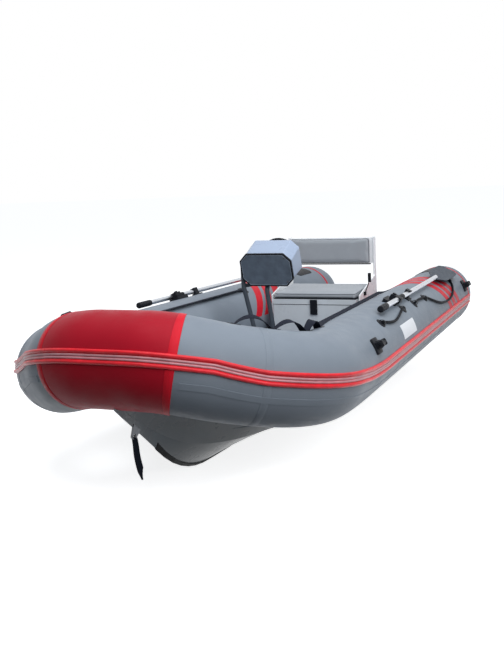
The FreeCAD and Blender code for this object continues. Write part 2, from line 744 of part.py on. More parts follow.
hinges = []
for x in (-HINGE_X, HINGE_X):
    lug = along_hinge(x - 14, x + 14, HINGE_KNUCKLE_R)
    web = box(x - 14, x + 14, box_back_y - 2.0, hinge_y, hinge_z, hinge_z + HINGE_KNUCKLE_R)
    lid = lid.fuse([lug, web]).cut(along_hinge(x - 20, x + 20, HINGE_PIN_R + SHAFT_CLEARANCE))
    bracket = along_hinge(x - 28, x - 14 - GAP, HINGE_KNUCKLE_R)
    bracket = bracket.fuse(along_hinge(x + 14 + GAP, x + 28, HINGE_KNUCKLE_R))
    for x0, x1 in ((x - 28, x - 14 - GAP), (x + 14 + GAP, x + 28)):
        bracket = bracket.fuse(box(x0, x1, box_back_y, hinge_y + HINGE_KNUCKLE_R, hinge_z - 30.0, hinge_z))
    leaf = box(x - 28, x + 28, box_back_y, box_back_y + 3.0, hinge_z - 45.0, hinge_z - HINGE_KNUCKLE_R - 1.5)
    hinges.append(bracket.fuse([along_hinge(x - 28, x + 28, HINGE_PIN_R), leaf]).removeSplitter())
save(lid, "seat_lid")
save(Part.makeCompound(hinges), "seat_hinges")
cushion_low = lid_low + LID_T + GAP
cushion_half = half_seat - CUSHION_SIDE_ROOM
cushion_front_y = SEAT_FRONT_Y + 4.0
cushion_back_y = box_back_y - CUSHION_BACK_ROOM
cushion = prism([Vector(-cushion_half, cushion_front_y, cushion_low),
                 Vector(-cushion_half, cushion_back_y, cushion_low),
                 Vector(-cushion_half, cushion_back_y, cushion_low + CUSHION_BACK_T),
                 Vector(-cushion_half, cushion_front_y, cushion_low + CUSHION_FRONT_T)],
                Vector(2 * cushion_half, 0, 0))
save(cushion.makeFillet(14.0, cushion.Edges), "seat_cushion")
half_latch = LATCH_W / 2
latch_low_z = lid_low - LATCH_BELOW_LID
latch = box(-half_latch, half_latch, SEAT_FRONT_Y - LATCH_T, SEAT_FRONT_Y, latch_low_z, BOX_TOP_Z)
latch_top = box(-half_latch, half_latch, SEAT_FRONT_Y - LATCH_T, SEAT_FRONT_Y - GAP, BOX_TOP_Z,
                BOX_TOP_Z + LATCH_ABOVE_RIM)
save(latch.fuse(latch_top).removeSplitter(), "seat_latch")

# Port post with the cheek that bolts to the box, and the arm beside the cushion
POST_FOOT = 150.0
CHEEK_TOP = 20.0
post_in_x = half_seat + 6.0
post_out_x = post_in_x + POST_T
post_low_z = BOX_TOP_Z - POST_FOOT
cheek_top_z = BOX_TOP_Z - CHEEK_TOP
cheek_front_y = BACK_Y - ARM_DEPTH
post = box(post_in_x, post_out_x, BACK_Y, BACK_Y + POST_W, post_low_z, BACK_HIGH_Z)
cheek = box(half_seat, post_out_x, cheek_front_y, BACK_Y + POST_W, post_low_z, cheek_top_z)
arm = prism([Vector(post_out_x - ARM_T, cheek_front_y, cheek_top_z - 1),
             Vector(post_out_x - ARM_T, cheek_front_y, cheek_top_z + ARM_FRONT_RISE),
             Vector(post_out_x - ARM_T, BACK_Y, cheek_top_z + ARM_RISE),
             Vector(post_out_x - ARM_T, BACK_Y, cheek_top_z - 1)], Vector(ARM_T, 0, 0))
save(both_sides(post.fuse([cheek, arm]).removeSplitter()), "backrest_posts")

# Reclining lever on the arm's outer side
LEVER_R = 3.0
LEVER_OUT = 6.0
LEVER_GRIP_T = 18.0
LEVER_GRIP_H = 62.0
LEVER_FOOT_W = 24.0
LEVER_FOOT_AFT = 95.0
LEVER_FOOT_RISE = 82.0
LEVER_LEAN = 95.0
LEVER_GRIP_RISE = 66.0
lever_foot_y = cheek_front_y + LEVER_FOOT_AFT
lever_foot_z = cheek_top_z + LEVER_FOOT_RISE
lever_grip_y = lever_foot_y + LEVER_LEAN
lever_grip_z = lever_foot_z + LEVER_GRIP_RISE
lever_rod = rod(Vector(post_out_x + LEVER_OUT, lever_foot_y, lever_foot_z),
                Vector(post_out_x + LEVER_OUT, lever_grip_y, lever_grip_z + 5.0), LEVER_R)
lever_grip = box(post_out_x + GAP, post_out_x + LEVER_GRIP_T, lever_grip_y - LEVER_GRIP_T / 2,
                 lever_grip_y + LEVER_GRIP_T / 2, lever_grip_z, lever_grip_z + LEVER_GRIP_H)
lever_foot = box(post_out_x, post_out_x + 2 * LEVER_OUT, lever_foot_y - LEVER_FOOT_W / 2,
                 lever_foot_y + LEVER_FOOT_W / 2, lever_foot_z - LEVER_FOOT_W / 2, lever_foot_z + LEVER_FOOT_W / 2)
save(lever_rod.fuse([lever_grip, lever_foot]).removeSplitter(), "backrest_lever")
board_half = post_in_x
save(box(-board_half, board_half, BACK_Y + 4, BACK_Y + 16, BACK_LOW_Z + 6, BACK_HIGH_Z - 6), "backrest_board")
back_pad_half = board_half - BACK_CUSHION_ROOM
back_pad_y = BACK_Y + 4 - GAP
back_cushion = box(-back_pad_half, back_pad_half, back_pad_y - BACK_T + 4, back_pad_y, BACK_LOW_Z, BACK_HIGH_Z)
save(back_cushion.makeFillet(12.0, back_cushion.Edges), "backrest_cushion")


# Oars, drawn in the tube's own directions at the rowlock: X off the skin, Y inboard, Z forward
ROWLOCK_S = s_at(ROWLOCK_Y)


def at_oar(shape):
    return placed(shape, ROWLOCK_S, OAR_PHI, TUBE_R + OAR_LIFT)


def along_oar(z0, z1, radius):
    return Part.makeCylinder(radius, z1 - z0, Vector(0, 0, z0), Vector(0, 0, 1))


oar_shaft = along_oar(-BLADE_START - BLADE_SOCKET, OAR_FORWARD - 20.0, OAR_R)
oar_grip = along_oar(OAR_FORWARD - GRIP_LENGTH, OAR_FORWARD, GRIP_R).cut(oar_shaft)
BLADE_NECK = 20.0
BLADE_FLARE = 130.0
BLADE_CORNER = 40.0
half_blade = [(BLADE_NECK, -BLADE_START), (BLADE_W / 2, -BLADE_START - BLADE_FLARE),
              (BLADE_W / 2, -OAR_AFT + BLADE_CORNER), (BLADE_W / 2 - BLADE_CORNER, -OAR_AFT)]
blade_outline = half_blade + [(-y, z) for y, z in reversed(half_blade)]
oar_blade = prism([Vector(-BLADE_T / 2, y, z) for y, z in blade_outline], Vector(BLADE_T, 0, 0)).cut(oar_shaft)
for name, shape in (("oar_shaft", oar_shaft), ("oar_grip", oar_grip), ("oar_blade", largest(oar_blade))):
    save(at_oar(shape), "port_" + name)
    save(mirrored(at_oar(shape)), "starboard_" + name)

# Rowlock: a pad on the skin with a fixed pin, and a collar on the oar that turns on the pin
PAD_TOP = -21.0
collar_low = -COLLAR_HALF_T
pin_cap_low = COLLAR_HALF_T + GAP


def round_pin(x0, x1, radius):
    return Part.makeCylinder(radius, x1 - x0, Vector(x0, PIN_INBOARD, 0), Vector(1, 0, 0))


def edges_along(shape, axis):
    """The straight edges that run along the axis."""
    return [edge for edge in shape.Edges if abs(edge.tangentAt(edge.FirstParameter).dot(axis)) > 0.9]


rowlock_pad = box(-60.0, PAD_TOP, PIN_INBOARD - 42.0, PIN_INBOARD + 42.0, -60.0, 60.0)
rowlock_pad = rowlock_pad.makeFillet(14.0, edges_along(rowlock_pad, Vector(1, 0, 0)))
rowlock_base = rowlock_pad.fuse([round_pin(PAD_TOP - 1.0, collar_low - GAP, PIN_R + 6.0),
                                 round_pin(PAD_TOP - 1.0, pin_cap_low + 6.0, PIN_R),
                                 round_pin(pin_cap_low, pin_cap_low + 6.0, PIN_R + 5.0)])
rowlock_base = largest(at_oar(rowlock_base).cut(port_chamber))
save(both_sides(rowlock_base), "rowlock_bases")
collar = box(-COLLAR_HALF_T, COLLAR_HALF_T, -OAR_R - 8.0, PIN_INBOARD + PIN_R + 9.0, -COLLAR_HALF_L, COLLAR_HALF_L)
collar = collar.makeFillet(7.0, edges_along(collar, Vector(0, 0, 1)))
collar = collar.cut(oar_shaft).cut(round_pin(-50.0, 50.0, PIN_R + SHAFT_CLEARANCE))
save(at_oar(collar), "port_rowlock_collar")
save(mirrored(at_oar(collar)), "starboard_rowlock_collar")
pin_point = placed(Part.Vertex(Vector(0, PIN_INBOARD, 0)), ROWLOCK_S, OAR_PHI, TUBE_R + OAR_LIFT).Point
pin_end = placed(Part.Vertex(Vector(1, PIN_INBOARD, 0)), ROWLOCK_S, OAR_PHI, TUBE_R + OAR_LIFT).Point
print("oar pin", pin_point, pin_end - pin_point)

# Clip that holds the stowed shaft, open outboard
clip_z = (ROWLOCK_S - s_at(CLIP_Y))
CLIP_WALL = 6.0
CLIP_HALF_L = 22.0
clip_seat = OAR_R + GAP
clip = box(-60.0, clip_seat + CLIP_WALL, -14.0, clip_seat + CLIP_WALL, clip_z - CLIP_HALF_L, clip_z + CLIP_HALF_L)
clip_bore = along_oar(clip_z - 40, clip_z + 40, clip_seat)
clip_mouth = box(-clip_seat, clip_seat, -60.0, 0.0, clip_z - 40, clip_z + 40)
clip_foot = box(-60.0, -27.0, -30.0, 36.0, clip_z - 34.0, clip_z + 34.0)
clip = clip.cut(clip_bore).cut(clip_mouth).fuse(clip_foot)
save(both_sides(largest(at_oar(clip).cut(port_chamber))), "oar_clips")

# Blocks for accessories, and the bare label plate
ACCESSORY_PLACES = ((1356.0, 27.0), (3844.0, 24.0))
block = box(-14.0, 10.0, -44.0, 44.0, -44.0, 44.0)
stud = Part.makeCylinder(26.0, 26.0, Vector(9.0, 0, 0), Vector(1, 0, 0))
jaw = box(30.0, 52.0, -13.0, 13.0, -34.0, 34.0)
mount_shape = block.fuse([stud, jaw])
accessory = []
for s, phi in ACCESSORY_PLACES:
    accessory.append(largest(placed(mount_shape, s, phi, TUBE_R).cut(port_chamber)))
accessory = Part.makeCompound(accessory)
save(both_sides(accessory), "accessory_mounts")
LABEL_S = 2040.0
LABEL_PHI = 20.5
LABEL_HALF_W = 41.0
LABEL_HALF_L = 150.0
label = along_tube(ring_wire(TUBE_R + 1.5), LABEL_S - LABEL_HALF_L, LABEL_S + LABEL_HALF_L)
label = label.common(placed(box(-60, 20, -LABEL_HALF_W, LABEL_HALF_W, -400, 400), LABEL_S, LABEL_PHI, TUBE_R))
save(largest(label.cut(port_chamber)), "label_plate")

# Webbing hand line: three loops ahead, then on edge along the inner top, held flat at its end.
# Each place has its arc length, its angle on the skin, its share of the loops' rise and its twist.
HUMP_RISE = 46.0
EDGE_TWIST = 58.0
HAND_LINE = ((460.0, 98.0, 0.0, 0.0), (480.0, 98.0, 0.0, 0.0), (498.0, 98.0, 0.45, 0.0), (525.0, 98.0, 0.85, 0.0),
             (556.0, 98.0, 1.0, 0.0), (592.0, 98.0, 0.9, 0.0), (630.0, 98.0, 0.5, 0.0), (656.0, 98.0, 0.0, 0.0),
             (688.0, 98.0, 0.0, 0.0), (712.0, 98.0, 0.5, 0.0), (745.0, 98.0, 0.9, 0.0), (785.0, 98.0, 1.0, 0.0),
             (825.0, 98.0, 0.9, 0.0), (868.0, 98.0, 0.5, 0.0), (896.0, 98.0, 0.0, 0.0), (944.0, 98.0, 0.0, 0.0),
             (972.0, 98.0, 0.5, 0.0), (1010.0, 98.5, 0.9, 0.0), (1055.0, 99.0, 1.0, 0.0),
             (1100.0, 99.5, 0.85, 0.0), (1140.0, 100.0, 0.4, 0.0), (1168.0, 100.0, 0.0, 0.0),
             (1230.0, 103.0, 0.0, 0.4), (1300.0, 107.0, 0.0, 1.0), (1400.0, 112.0, 0.0, 1.0),
             (1520.0, 117.0, 0.0, 1.0), (2600.0, 117.0, 0.0, 1.0), (2670.0, 117.0, 0.0, 0.4),
             (2728.0, 117.0, 0.0, 0.0))


def webbing_section(s, phi, rise, twist):
    a = math.radians(EDGE_TWIST * twist)
    across = Vector(math.sin(a), math.cos(a), 0)
    thick = Vector(math.cos(a), -math.sin(a), 0) * (WEBBING_T / 2)
    low = Vector(WEBBING_LIFT + rise * HUMP_RISE, -WEBBING_W / 2, 0)
    high = low + across * WEBBING_W
    points = [low - thick, low + thick, high + thick, high - thick]
    return placed(Part.makePolygon(points + [points[0]]), s, phi, TUBE_R)


hand_line = Part.makeLoft([webbing_section(*place) for place in HAND_LINE], True, True)
save(both_sides(hand_line), "hand_lines")

# Safety ropes: route points as arc length and angle on the skin
FORE_ROPE = ((1660.0, 49.0), (1745.0, 43.0), (1850.0, 40.0), (1950.0, 42.5), (2040.0, 46.0), (2110.0, 49.0),
             (2160.0, 49.5))
AFT_ROPE = ((2420.0, 47.0), (2520.0, 48.5), (2610.0, 47.0), (2692.0, 46.0), (2780.0, 36.0), (2900.0, 26.0),
            (3030.0, 21.0), (3170.0, 19.5), (3290.0, 21.0), (3390.0, 26.0), (3480.0, 34.0), (3545.0, 46.0),
            (3560.0, 60.0), (3500.0, 72.0))
EYELETS = ((1660.0, 49.0, 0), (2160.0, 49.5, 0), (2420.0, 47.0, 1), (2692.0, 46.0, 1), (3545.0, 46.0, 1),
           (3500.0, 72.0, 1))
ropes = []
for route in (FORE_ROPE, AFT_ROPE):
    points = [surface_point(s, phi, ROPE_LIFT) for s, phi in route]
    path, radii = soft_path(points)
    print("rope radii", radii, "length", round(path.Length, 1))
    section = Part.Wire([Part.makeCircle(ROPE_D / 2, points[0], points[1] - points[0])])
    ropes.append(path.makePipeShell([section], True, True))
    print("rope volume over section times length", ropes[-1].Volume / (path.Length * math.pi * ROPE_D ** 2 / 4))
save(both_sides(Part.makeCompound(ropes)), "safety_ropes")
EYELET_WALL = 2.5
EYELET_HALF_L = 9.0
eyelet_disc = Part.makeCylinder(30.0, 8.0, Vector(-5, 0, 0), Vector(1, 0, 0))
eyelet_loop = Part.makeCylinder(ROPE_LIFT + ROPE_D / 2 + EYELET_WALL, 2 * EYELET_HALF_L, Vector(0, 0, -EYELET_HALF_L),
                                Vector(0, 0, 1))
eyelets = []
for s, phi, rope_number in EYELETS:
    shape = placed(eyelet_disc.fuse(eyelet_loop), s, phi, TUBE_R).cut(port_chamber).cut(ropes[rope_number])
    eyelets.append(largest(shape))
save(both_sides(Part.makeCompound(eyelets)), "rope_eyelets")

# Inflation valves on the inner faces
VALVES = ((400.0, 150.0), (3000.0, 165.0))
valve_shape = Part.makeCylinder(30.0, 14.0, Vector(-9, 0, 0), Vector(1, 0, 0))
valve_shape = valve_shape.fuse(Part.makeCylinder(19.0, 12.0, Vector(4, 0, 0), Vector(1, 0, 0)))
valves = []
for s, phi in VALVES:
    valves.append(largest(placed(valve_shape, s, phi, TUBE_R).cut([bow_chamber, port_chamber])))
valves.append(mirrored(valves[1]))
save(Part.makeCompound(valves), "inflation_valves")
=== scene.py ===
import json
import math
import bmesh
import bpy
from mathutils import Matrix, Vector
from mathutils.bvhtree import BVHTree


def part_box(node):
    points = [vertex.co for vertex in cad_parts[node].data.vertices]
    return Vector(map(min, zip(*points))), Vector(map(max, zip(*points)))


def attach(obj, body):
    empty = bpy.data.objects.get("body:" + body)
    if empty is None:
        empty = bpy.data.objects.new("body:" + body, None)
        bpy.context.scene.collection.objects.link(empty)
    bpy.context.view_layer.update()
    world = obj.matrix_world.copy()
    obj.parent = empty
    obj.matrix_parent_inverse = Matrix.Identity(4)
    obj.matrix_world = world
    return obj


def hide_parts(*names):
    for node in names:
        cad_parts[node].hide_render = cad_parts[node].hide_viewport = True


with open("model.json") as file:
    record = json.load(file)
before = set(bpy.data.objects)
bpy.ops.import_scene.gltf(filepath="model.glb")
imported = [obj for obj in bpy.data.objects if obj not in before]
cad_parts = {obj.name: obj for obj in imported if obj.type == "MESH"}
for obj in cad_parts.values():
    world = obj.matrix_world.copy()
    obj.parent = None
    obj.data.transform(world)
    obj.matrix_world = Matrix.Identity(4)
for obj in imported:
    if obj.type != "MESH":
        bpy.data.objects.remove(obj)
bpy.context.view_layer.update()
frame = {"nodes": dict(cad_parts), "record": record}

# Rigid inflatable boat. X to port, Y aft, Z up, metres, origin at the waterline.
PORT = Vector((1, 0, 0))
AFT = Vector((0, 1, 0))
UP = Vector((0, 0, 1))
SIDES = (("port", 1), ("starboard", -1))

# Path of the tube's centre line, half of it, from the bow centre aft
TUBE_R = 0.225
BOW_Y = -1.7
BOW_FLAT = 0.112
BOW_BEND_R = 0.35
BOW_BEND = math.radians(41.0)
DIAGONAL = 0.24
SHOULDER_R = 0.49
AFT_HEADING = math.radians(92.5)
STERN_Y = 1.85
AFT_TUBE_Z = 0.225
BOW_RISE = 0.193
SHEER_LENGTH = 1.1
SHEER_POWER = 3.2
CHAMBER_S = 0.6
PATCH_S = 0.262
PATCH_T = 0.0025
BEND_STEP = 0.02
STRAIGHT_STEP = 0.05


def plan(s):
    """Point and heading in plan at arc length s from the bow centre."""
    run = min(s, BOW_FLAT)
    x, y = run, BOW_Y
    s -= run
    heading = min(s / BOW_BEND_R, BOW_BEND)
    x += BOW_BEND_R * math.sin(heading)
    y += BOW_BEND_R * (1 - math.cos(heading))
    s -= heading * BOW_BEND_R
    run = min(s, DIAGONAL)
    x += run * math.cos(BOW_BEND)
    y += run * math.sin(BOW_BEND)
    s -= run
    turn = min(s / SHOULDER_R, AFT_HEADING - BOW_BEND)
    if turn > 0:
        heading = BOW_BEND + turn
        x += SHOULDER_R * (math.sin(heading) - math.sin(BOW_BEND))
        y += SHOULDER_R * (math.cos(BOW_BEND) - math.cos(heading))
        s -= turn * SHOULDER_R
    if heading >= AFT_HEADING - 1e-9:
        x += s * math.cos(AFT_HEADING)
        y += s * math.sin(AFT_HEADING)
    return x, y, heading


def left_of_sheer(y):
    return max(1.0 - (y - BOW_Y) / SHEER_LENGTH, 0.0)


def tube_frame(s):
    """Centre, aft, outward and up directions of the tube at s, negative to starboard."""
    x, y, heading = plan(abs(s))
    left = left_of_sheer(y)
    slope = -BOW_RISE * SHEER_POWER / SHEER_LENGTH * left ** (SHEER_POWER - 1)
    along = Vector((math.cos(heading), math.sin(heading), slope * math.sin(heading))).normalized()
    out = along.cross(UP).normalized()
    centre = Vector((x, y, AFT_TUBE_Z + BOW_RISE * left ** SHEER_POWER))
    mirror = Vector((-1.0 if s < 0 else 1.0, 1, 1))
    return centre * mirror, along * mirror, out * mirror, out.cross(along) * mirror


def skin_axes(s, degrees, lift=0.0):
    """Place at an angle above the tube's outward side, with its outward, crosswise and forward directions."""
    centre, along, out, up = tube_frame(s)
    a = math.radians(degrees)
    normal = out * math.cos(a) + up * math.sin(a)
    return centre + normal * (TUBE_R + lift), normal, up * math.cos(a) - out * math.sin(a), -along


def skin(s, degrees, lift=0.0):
    """Point at an angle above the outward side of the tube, lift off its skin."""
    return skin_axes(s, degrees, lift)[0]


def s_at(y):
    """Arc length at which the tube reaches y."""
    low, high = 0.0, 6.0
    for _ in range(50):
        middle = (low + high) / 2
        if plan(middle)[1] < y:
            low = middle
        else:
            high = middle
    return low


S_END = s_at(STERN_Y)
S_STRAIGHT = s_at(BOW_Y + SHEER_LENGTH)


def stations(first, last):
    """Arc lengths from first to last, closer together where the tube bends."""
    marks = [first]
    for low, high, step in ((-S_END, -S_STRAIGHT, STRAIGHT_STEP), (-S_STRAIGHT, S_STRAIGHT, BEND_STEP),
                            (S_STRAIGHT, S_END, STRAIGHT_STEP)):
        a, b = max(first, low), min(last, high)
        if b > a:
            count = max(1, math.ceil((b - a) / step))
            marks += [a + (b - a) * k / count for k in range(1, count + 1)]
    return marks


def ease(value, low, high):
    """Zero before low, one after high, smooth between."""
    t = min(max((value - low) / (high - low), 0.0), 1.0)
    return t * t * (3 - 2 * t)


def srgb(r, g, b):
    """Linear colour of a screen colour given from 0 to 255."""
    parts = []
    for value in (r, g, b):
        v = value / 255
        parts.append(v / 12.92 if v <= 0.04045 else ((v + 0.055) / 1.055) ** 2.4)
    return (*parts, 1.0)


def shade(colour, factor):
    return (*(min(c * factor, 1.0) for c in colour[:3]), 1.0)


# Finishes
class Finish:
    """A node material round one Principled shader."""

    def __init__(self, name, **sockets):
        self.material = bpy.data.materials.new(name)
        self.material.use_nodes = True
        self.tree = self.material.node_tree
        self.shader = self.tree.nodes["Principled BSDF"]
        self.place = self.tree.nodes.new("ShaderNodeTexCoord")
        self.normal = None
        for socket, value in sockets.items():
            self.shader.inputs[socket.replace("_", " ")].default_value = value

    def node(self, kind, vector=None, **inputs):
        """New node with values on its sockets and, if given, a vector linked to it."""
        node = self.tree.nodes.new("ShaderNode" + kind)
        for socket, value in inputs.items():
            node.inputs[socket.replace("_", " ")].default_value = value
        if vector:
            self.link(vector, node.inputs["Vector"])
        return node

    def link(self, a, b):
        self.tree.links.new(a, b)

    def noise(self, scale, detail=3.0, stretch=(1, 1, 1)):
        mapped = self.node("Mapping", self.place.outputs["Object"], Scale=stretch)
        return self.node("TexNoise", mapped.outputs["Vector"], Scale=scale, Detail=detail,
                         Roughness=0.55).outputs["Fac"]

    def wave(self, pitch, direction):
        """Bands one pitch apart, in metres, across an axis of the surface."""
        node = self.node("TexWave", self.place.outputs["UV"], Scale=math.pi / (10 * pitch))
        node.bands_direction = direction
        return node.outputs["Fac"]

    def voronoi(self, scale, feature="F1"):
        node = self.node("TexVoronoi", self.place.outputs["Object"], Scale=scale)
        node.feature = feature
        return node.outputs["Distance"]

    def math(self, operation, a, b):
        node = self.tree.nodes.new("ShaderNodeMath")
        node.operation = operation
        self.link(a, node.inputs[0])
        self.link(b, node.inputs[1])
        return node.outputs["Value"]

    def shades(self, factor, dark, light):
        """Base colour from dark to light over the factor's middle range."""
        node = self.tree.nodes.new("ShaderNodeValToRGB")
        for element, place, colour in zip(node.color_ramp.elements, (0.3, 0.7), (dark, light)):
            element.position = place
            element.color = colour
        self.link(factor, node.inputs["Fac"])
        self.link(node.outputs["Color"], self.shader.inputs["Base Color"])

    def rough(self, factor, low, high):
        node = self.node("MapRange", From_Min=0.3, From_Max=0.7, To_Min=low, To_Max=high)
        self.link(factor, node.inputs["Value"])
        self.link(node.outputs["Result"], self.shader.inputs["Roughness"])

    def bump(self, height, depth, strength):
        node = self.node("Bump", Strength=strength, Distance=depth)
        self.link(height, node.inputs["Height"])
        if self.normal:
            self.link(self.normal, node.inputs["Normal"])
        self.normal = node.outputs["Normal"]
        self.link(self.normal, self.shader.inputs["Normal"])


def coat(name, colour, tone, gloss, bumps=(), **sockets):
    """Noisy finish. Tone and gloss are scale, detail, low, high; a bump is scale, detail, depth, strength."""
    f = Finish(name, **sockets)
    scale, detail, low, high = tone
    f.shades(f.noise(scale, detail), shade(colour, low), shade(colour, high))
    scale, detail, low, high = gloss
    f.rough(f.noise(scale, detail), low, high)
    for scale, detail, depth, strength in bumps:
        f.bump(f.noise(scale, detail), depth, strength)
    return f


def coated_fabric(name, colour, weave=0.0011):
    """Reinforced coated fabric: a soft gloss over a faint square weave."""
    f = coat(name, colour, (3.0, 4.0, 0.93, 1.06), (14.0, 5.0, 0.36, 0.5), Specular_IOR_Level=0.08,
             Sheen_Weight=0.06, Sheen_Roughness=0.35, Sheen_Tint=(0.72, 0.78, 1.0, 1.0))
    f.bump(f.math("ADD", f.wave(weave, "X"), f.wave(weave, "Y")), 0.00006, 0.5)
    f.bump(f.noise(38.0), 0.0006, 0.16)
    return f.material


def moulded(name, colour, roughness=0.5, gloss=0.08):
    """Moulded plastic or rubber with a fine grain and handling marks."""
    return coat(name, colour, (22.0, 5.0, 0.85, 1.15), (60.0, 4.0, roughness - 0.07, roughness + 0.08),
                ((700.0, 2.0, 0.0001, 0.4),), Specular_IOR_Level=gloss).material


def gelcoat(name, colour, roughness=0.28):
    """Glossy moulded laminate, a little uneven."""
    return coat(name, colour, (2.2, 5.0, 0.93, 1.06), (9.0, 5.0, roughness - 0.06, roughness + 0.1),
                ((16.0, 2.0, 0.001, 0.12), (160.0, 3.0, 0.0002, 0.12)), Specular_IOR_Level=0.3,
                Coat_Weight=0.1, Coat_Roughness=0.12).material


def metal(name, colour, roughness, stretch=(1, 1, 1)):
    """Metal with fine drawing or polishing marks."""
    f = Finish(name, Metallic=1.0)
    marks = f.noise(300.0, 4.0, stretch)
    f.shades(marks, shade(colour, 0.92), shade(colour, 1.05))
    f.rough(marks, roughness - 0.08, roughness + 0.1)
    f.bump(marks, 0.00005, 0.3)
    return f.material


def powder_coat(name, colour, roughness=0.4):
    return coat(name, colour, (5.0, 4.0, 0.96, 1.03), (40.0, 3.0, roughness - 0.06, roughness + 0.06),
                ((420.0, 2.0, 0.00012, 0.3),), Specular_IOR_Level=0.3).material


def nonskid(name, colour):
    """Deck paint with a small raised pattern of cells."""
    f = coat(name, colour, (4.0, 5.0, 0.9, 1.08), (30.0, 4.0, 0.45, 0.65), Specular_IOR_Level=0.3)
    f.bump(f.voronoi(180.0), 0.0012, 0.5)
    return f.material


def vinyl(name, colour):
    """Marine upholstery with a leather grain."""
    f = coat(name, colour, (6.0, 4.0, 0.94, 1.05), (50.0, 3.0, 0.42, 0.56), Specular_IOR_Level=0.3)
    f.bump(f.voronoi(520.0, "DISTANCE_TO_EDGE"), 0.0005, 0.35)
    f.bump(f.noise(45.0), 0.0008, 0.2)
    return f.material


def webbing(name, colour):
    """Woven strap with close ribs along and across."""
    f = Finish(name, Specular_IOR_Level=0.05)
    ribs = f.math("MULTIPLY", f.wave(0.0016, "X"), f.wave(0.0022, "Y"))
    f.shades(f.math("ADD", ribs, f.noise(40.0)), shade(colour, 0.7), shade(colour, 1.5))
    f.rough(f.noise(80.0), 0.6, 0.8)
    f.bump(ribs, 0.0007, 0.6)
    return f.material


def rope(name, colour):
    """Laid line with slanted strands."""
    f = Finish(name, Specular_IOR_Level=0.06)
    strands = f.wave(0.0075, "DIAGONAL")
    f.shades(f.math("MULTIPLY", strands, f.noise(220.0)), shade(colour, 0.6), shade(colour, 1.8))
    f.rough(f.noise(90.0), 0.5, 0.7)
    f.bump(strands, 0.0009, 0.7)
    return f.material


BLACK = srgb(26, 28, 33)
finishes = {
    "tube_fabric": coated_fabric("gray_coated_fabric", srgb(122, 130, 139)),
    "red_fabric": coated_fabric("red_coated_fabric", srgb(158, 16, 34)),
    "strake_rubber": moulded("red_strake_rubber", srgb(208, 24, 38), 0.34, 0.25),
    "hull_gelcoat": gelcoat("gray_gelcoat", srgb(112, 121, 128)),
    "deck_nonskid": nonskid("gray_nonskid", srgb(168, 176, 184)),
    "transom_paint": gelcoat("gray_transom_paint", srgb(150, 158, 166)),
    "white_paint": gelcoat("pale_console_paint", srgb(158, 172, 194)),
    "dark_plate": moulded("dark_plate_rim", srgb(48, 56, 66), 0.42),
    "frame_alu": powder_coat("gray_frame_paint", srgb(66, 72, 80)),
    "polished_steel": metal("polished_steel", (0.72, 0.72, 0.72, 1.0), 0.2),
    "black_plastic": moulded("black_plastic", BLACK, 0.42),
    "cushion_vinyl": vinyl("gray_vinyl", srgb(156, 160, 165)),
    "oar_alu": metal("anodised_aluminium", (0.62, 0.65, 0.7, 1.0), 0.3, (1, 0.05, 1)),
    "blade_plastic": moulded("gray_blade_plastic", srgb(58, 66, 76), 0.45),
    "black_rope": rope("black_rope", BLACK),
    "black_webbing": webbing("black_webbing", srgb(26, 29, 38)),
    "label_plate": powder_coat("white_label", srgb(226, 228, 232)),
    "guard_rubber": moulded("black_guard_rubber", srgb(20, 22, 24), 0.5, 0.1),
}
piping_vinyl = vinyl("dark_piping_vinyl", srgb(96, 100, 106))
# Gray rib rubber tinted pink: the pink is a painted reflection of the red ribs beside it.
strake_gray_pink_reflection = moulded("gray_strake_rubber_pink_reflection", srgb(186, 132, 138), 0.34, 0.25)
tape_red = coated_fabric("red_tape", srgb(196, 26, 42))
seat_gray = gelcoat("gray_seat_laminate", srgb(194, 198, 202))
post_white = gelcoat("white_post_paint", srgb(236, 238, 240))
panel_gray = moulded("console_panel", srgb(98, 108, 120), 0.4)
dull_steel = metal("dull_steel", (0.12, 0.125, 0.135, 1.0), 0.4)
# Pale bead colour: a painted highlight along the bevel at the panel's border.
bead_highlight_paint = moulded("pale_bead_painted_highlight", srgb(150, 160, 172), 0.35)
dial_white = powder_coat("dial_mark", srgb(220, 222, 224))

OWN_FINISH = {"seat_box": seat_gray, "seat_lid": seat_gray, "backrest_posts": post_white,
              "backrest_board": post_white, "bow_eye": dull_steel}
slots = {part["node"]: part["material_slot"] for part in frame["record"]["subparts"]}
for name, solid in frame["nodes"].items():
    solid.data.materials.clear()
    solid.data.materials.append(OWN_FINISH.get(name, finishes[slots[name]]))


# Mesh making: shapes are lists of rings of points, and piece() makes an object of them
def add(obj, body="boat", node=None, smooth=35.0):
    """Smooth the faces, put the piece on its body and hide the solid that it stands for."""
    for polygon in obj.data.polygons:
        polygon.use_smooth = True
    obj.data.set_sharp_from_angle(angle=math.radians(smooth))
    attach(obj, body)
    if node:
        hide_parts(node)
    return obj


def mesh_object(name, points, faces, materials, indices=None, uvs=None):
    """A mesh object with its normals turned outward."""
    mesh = bpy.data.meshes.new(name)
    mesh.from_pydata([tuple(p) for p in points], [], faces)
    for material in materials:
        mesh.materials.append(material)
    if indices:
        mesh.polygons.foreach_set("material_index", indices)
    if uvs:
        layer = mesh.uv_layers.new(name="metres")
        for polygon, corners in zip(mesh.polygons, uvs):
            for loop, uv in zip(polygon.loop_indices, corners):
                layer.data[loop].uv = uv
    bm = bmesh.new()
    bm.from_mesh(mesh)
    bmesh.ops.recalc_face_normals(bm, faces=bm.faces)
    bm.to_mesh(mesh)
    bm.free()
    obj = bpy.data.objects.new(name, mesh)
    bpy.context.scene.collection.objects.link(obj)
    return obj


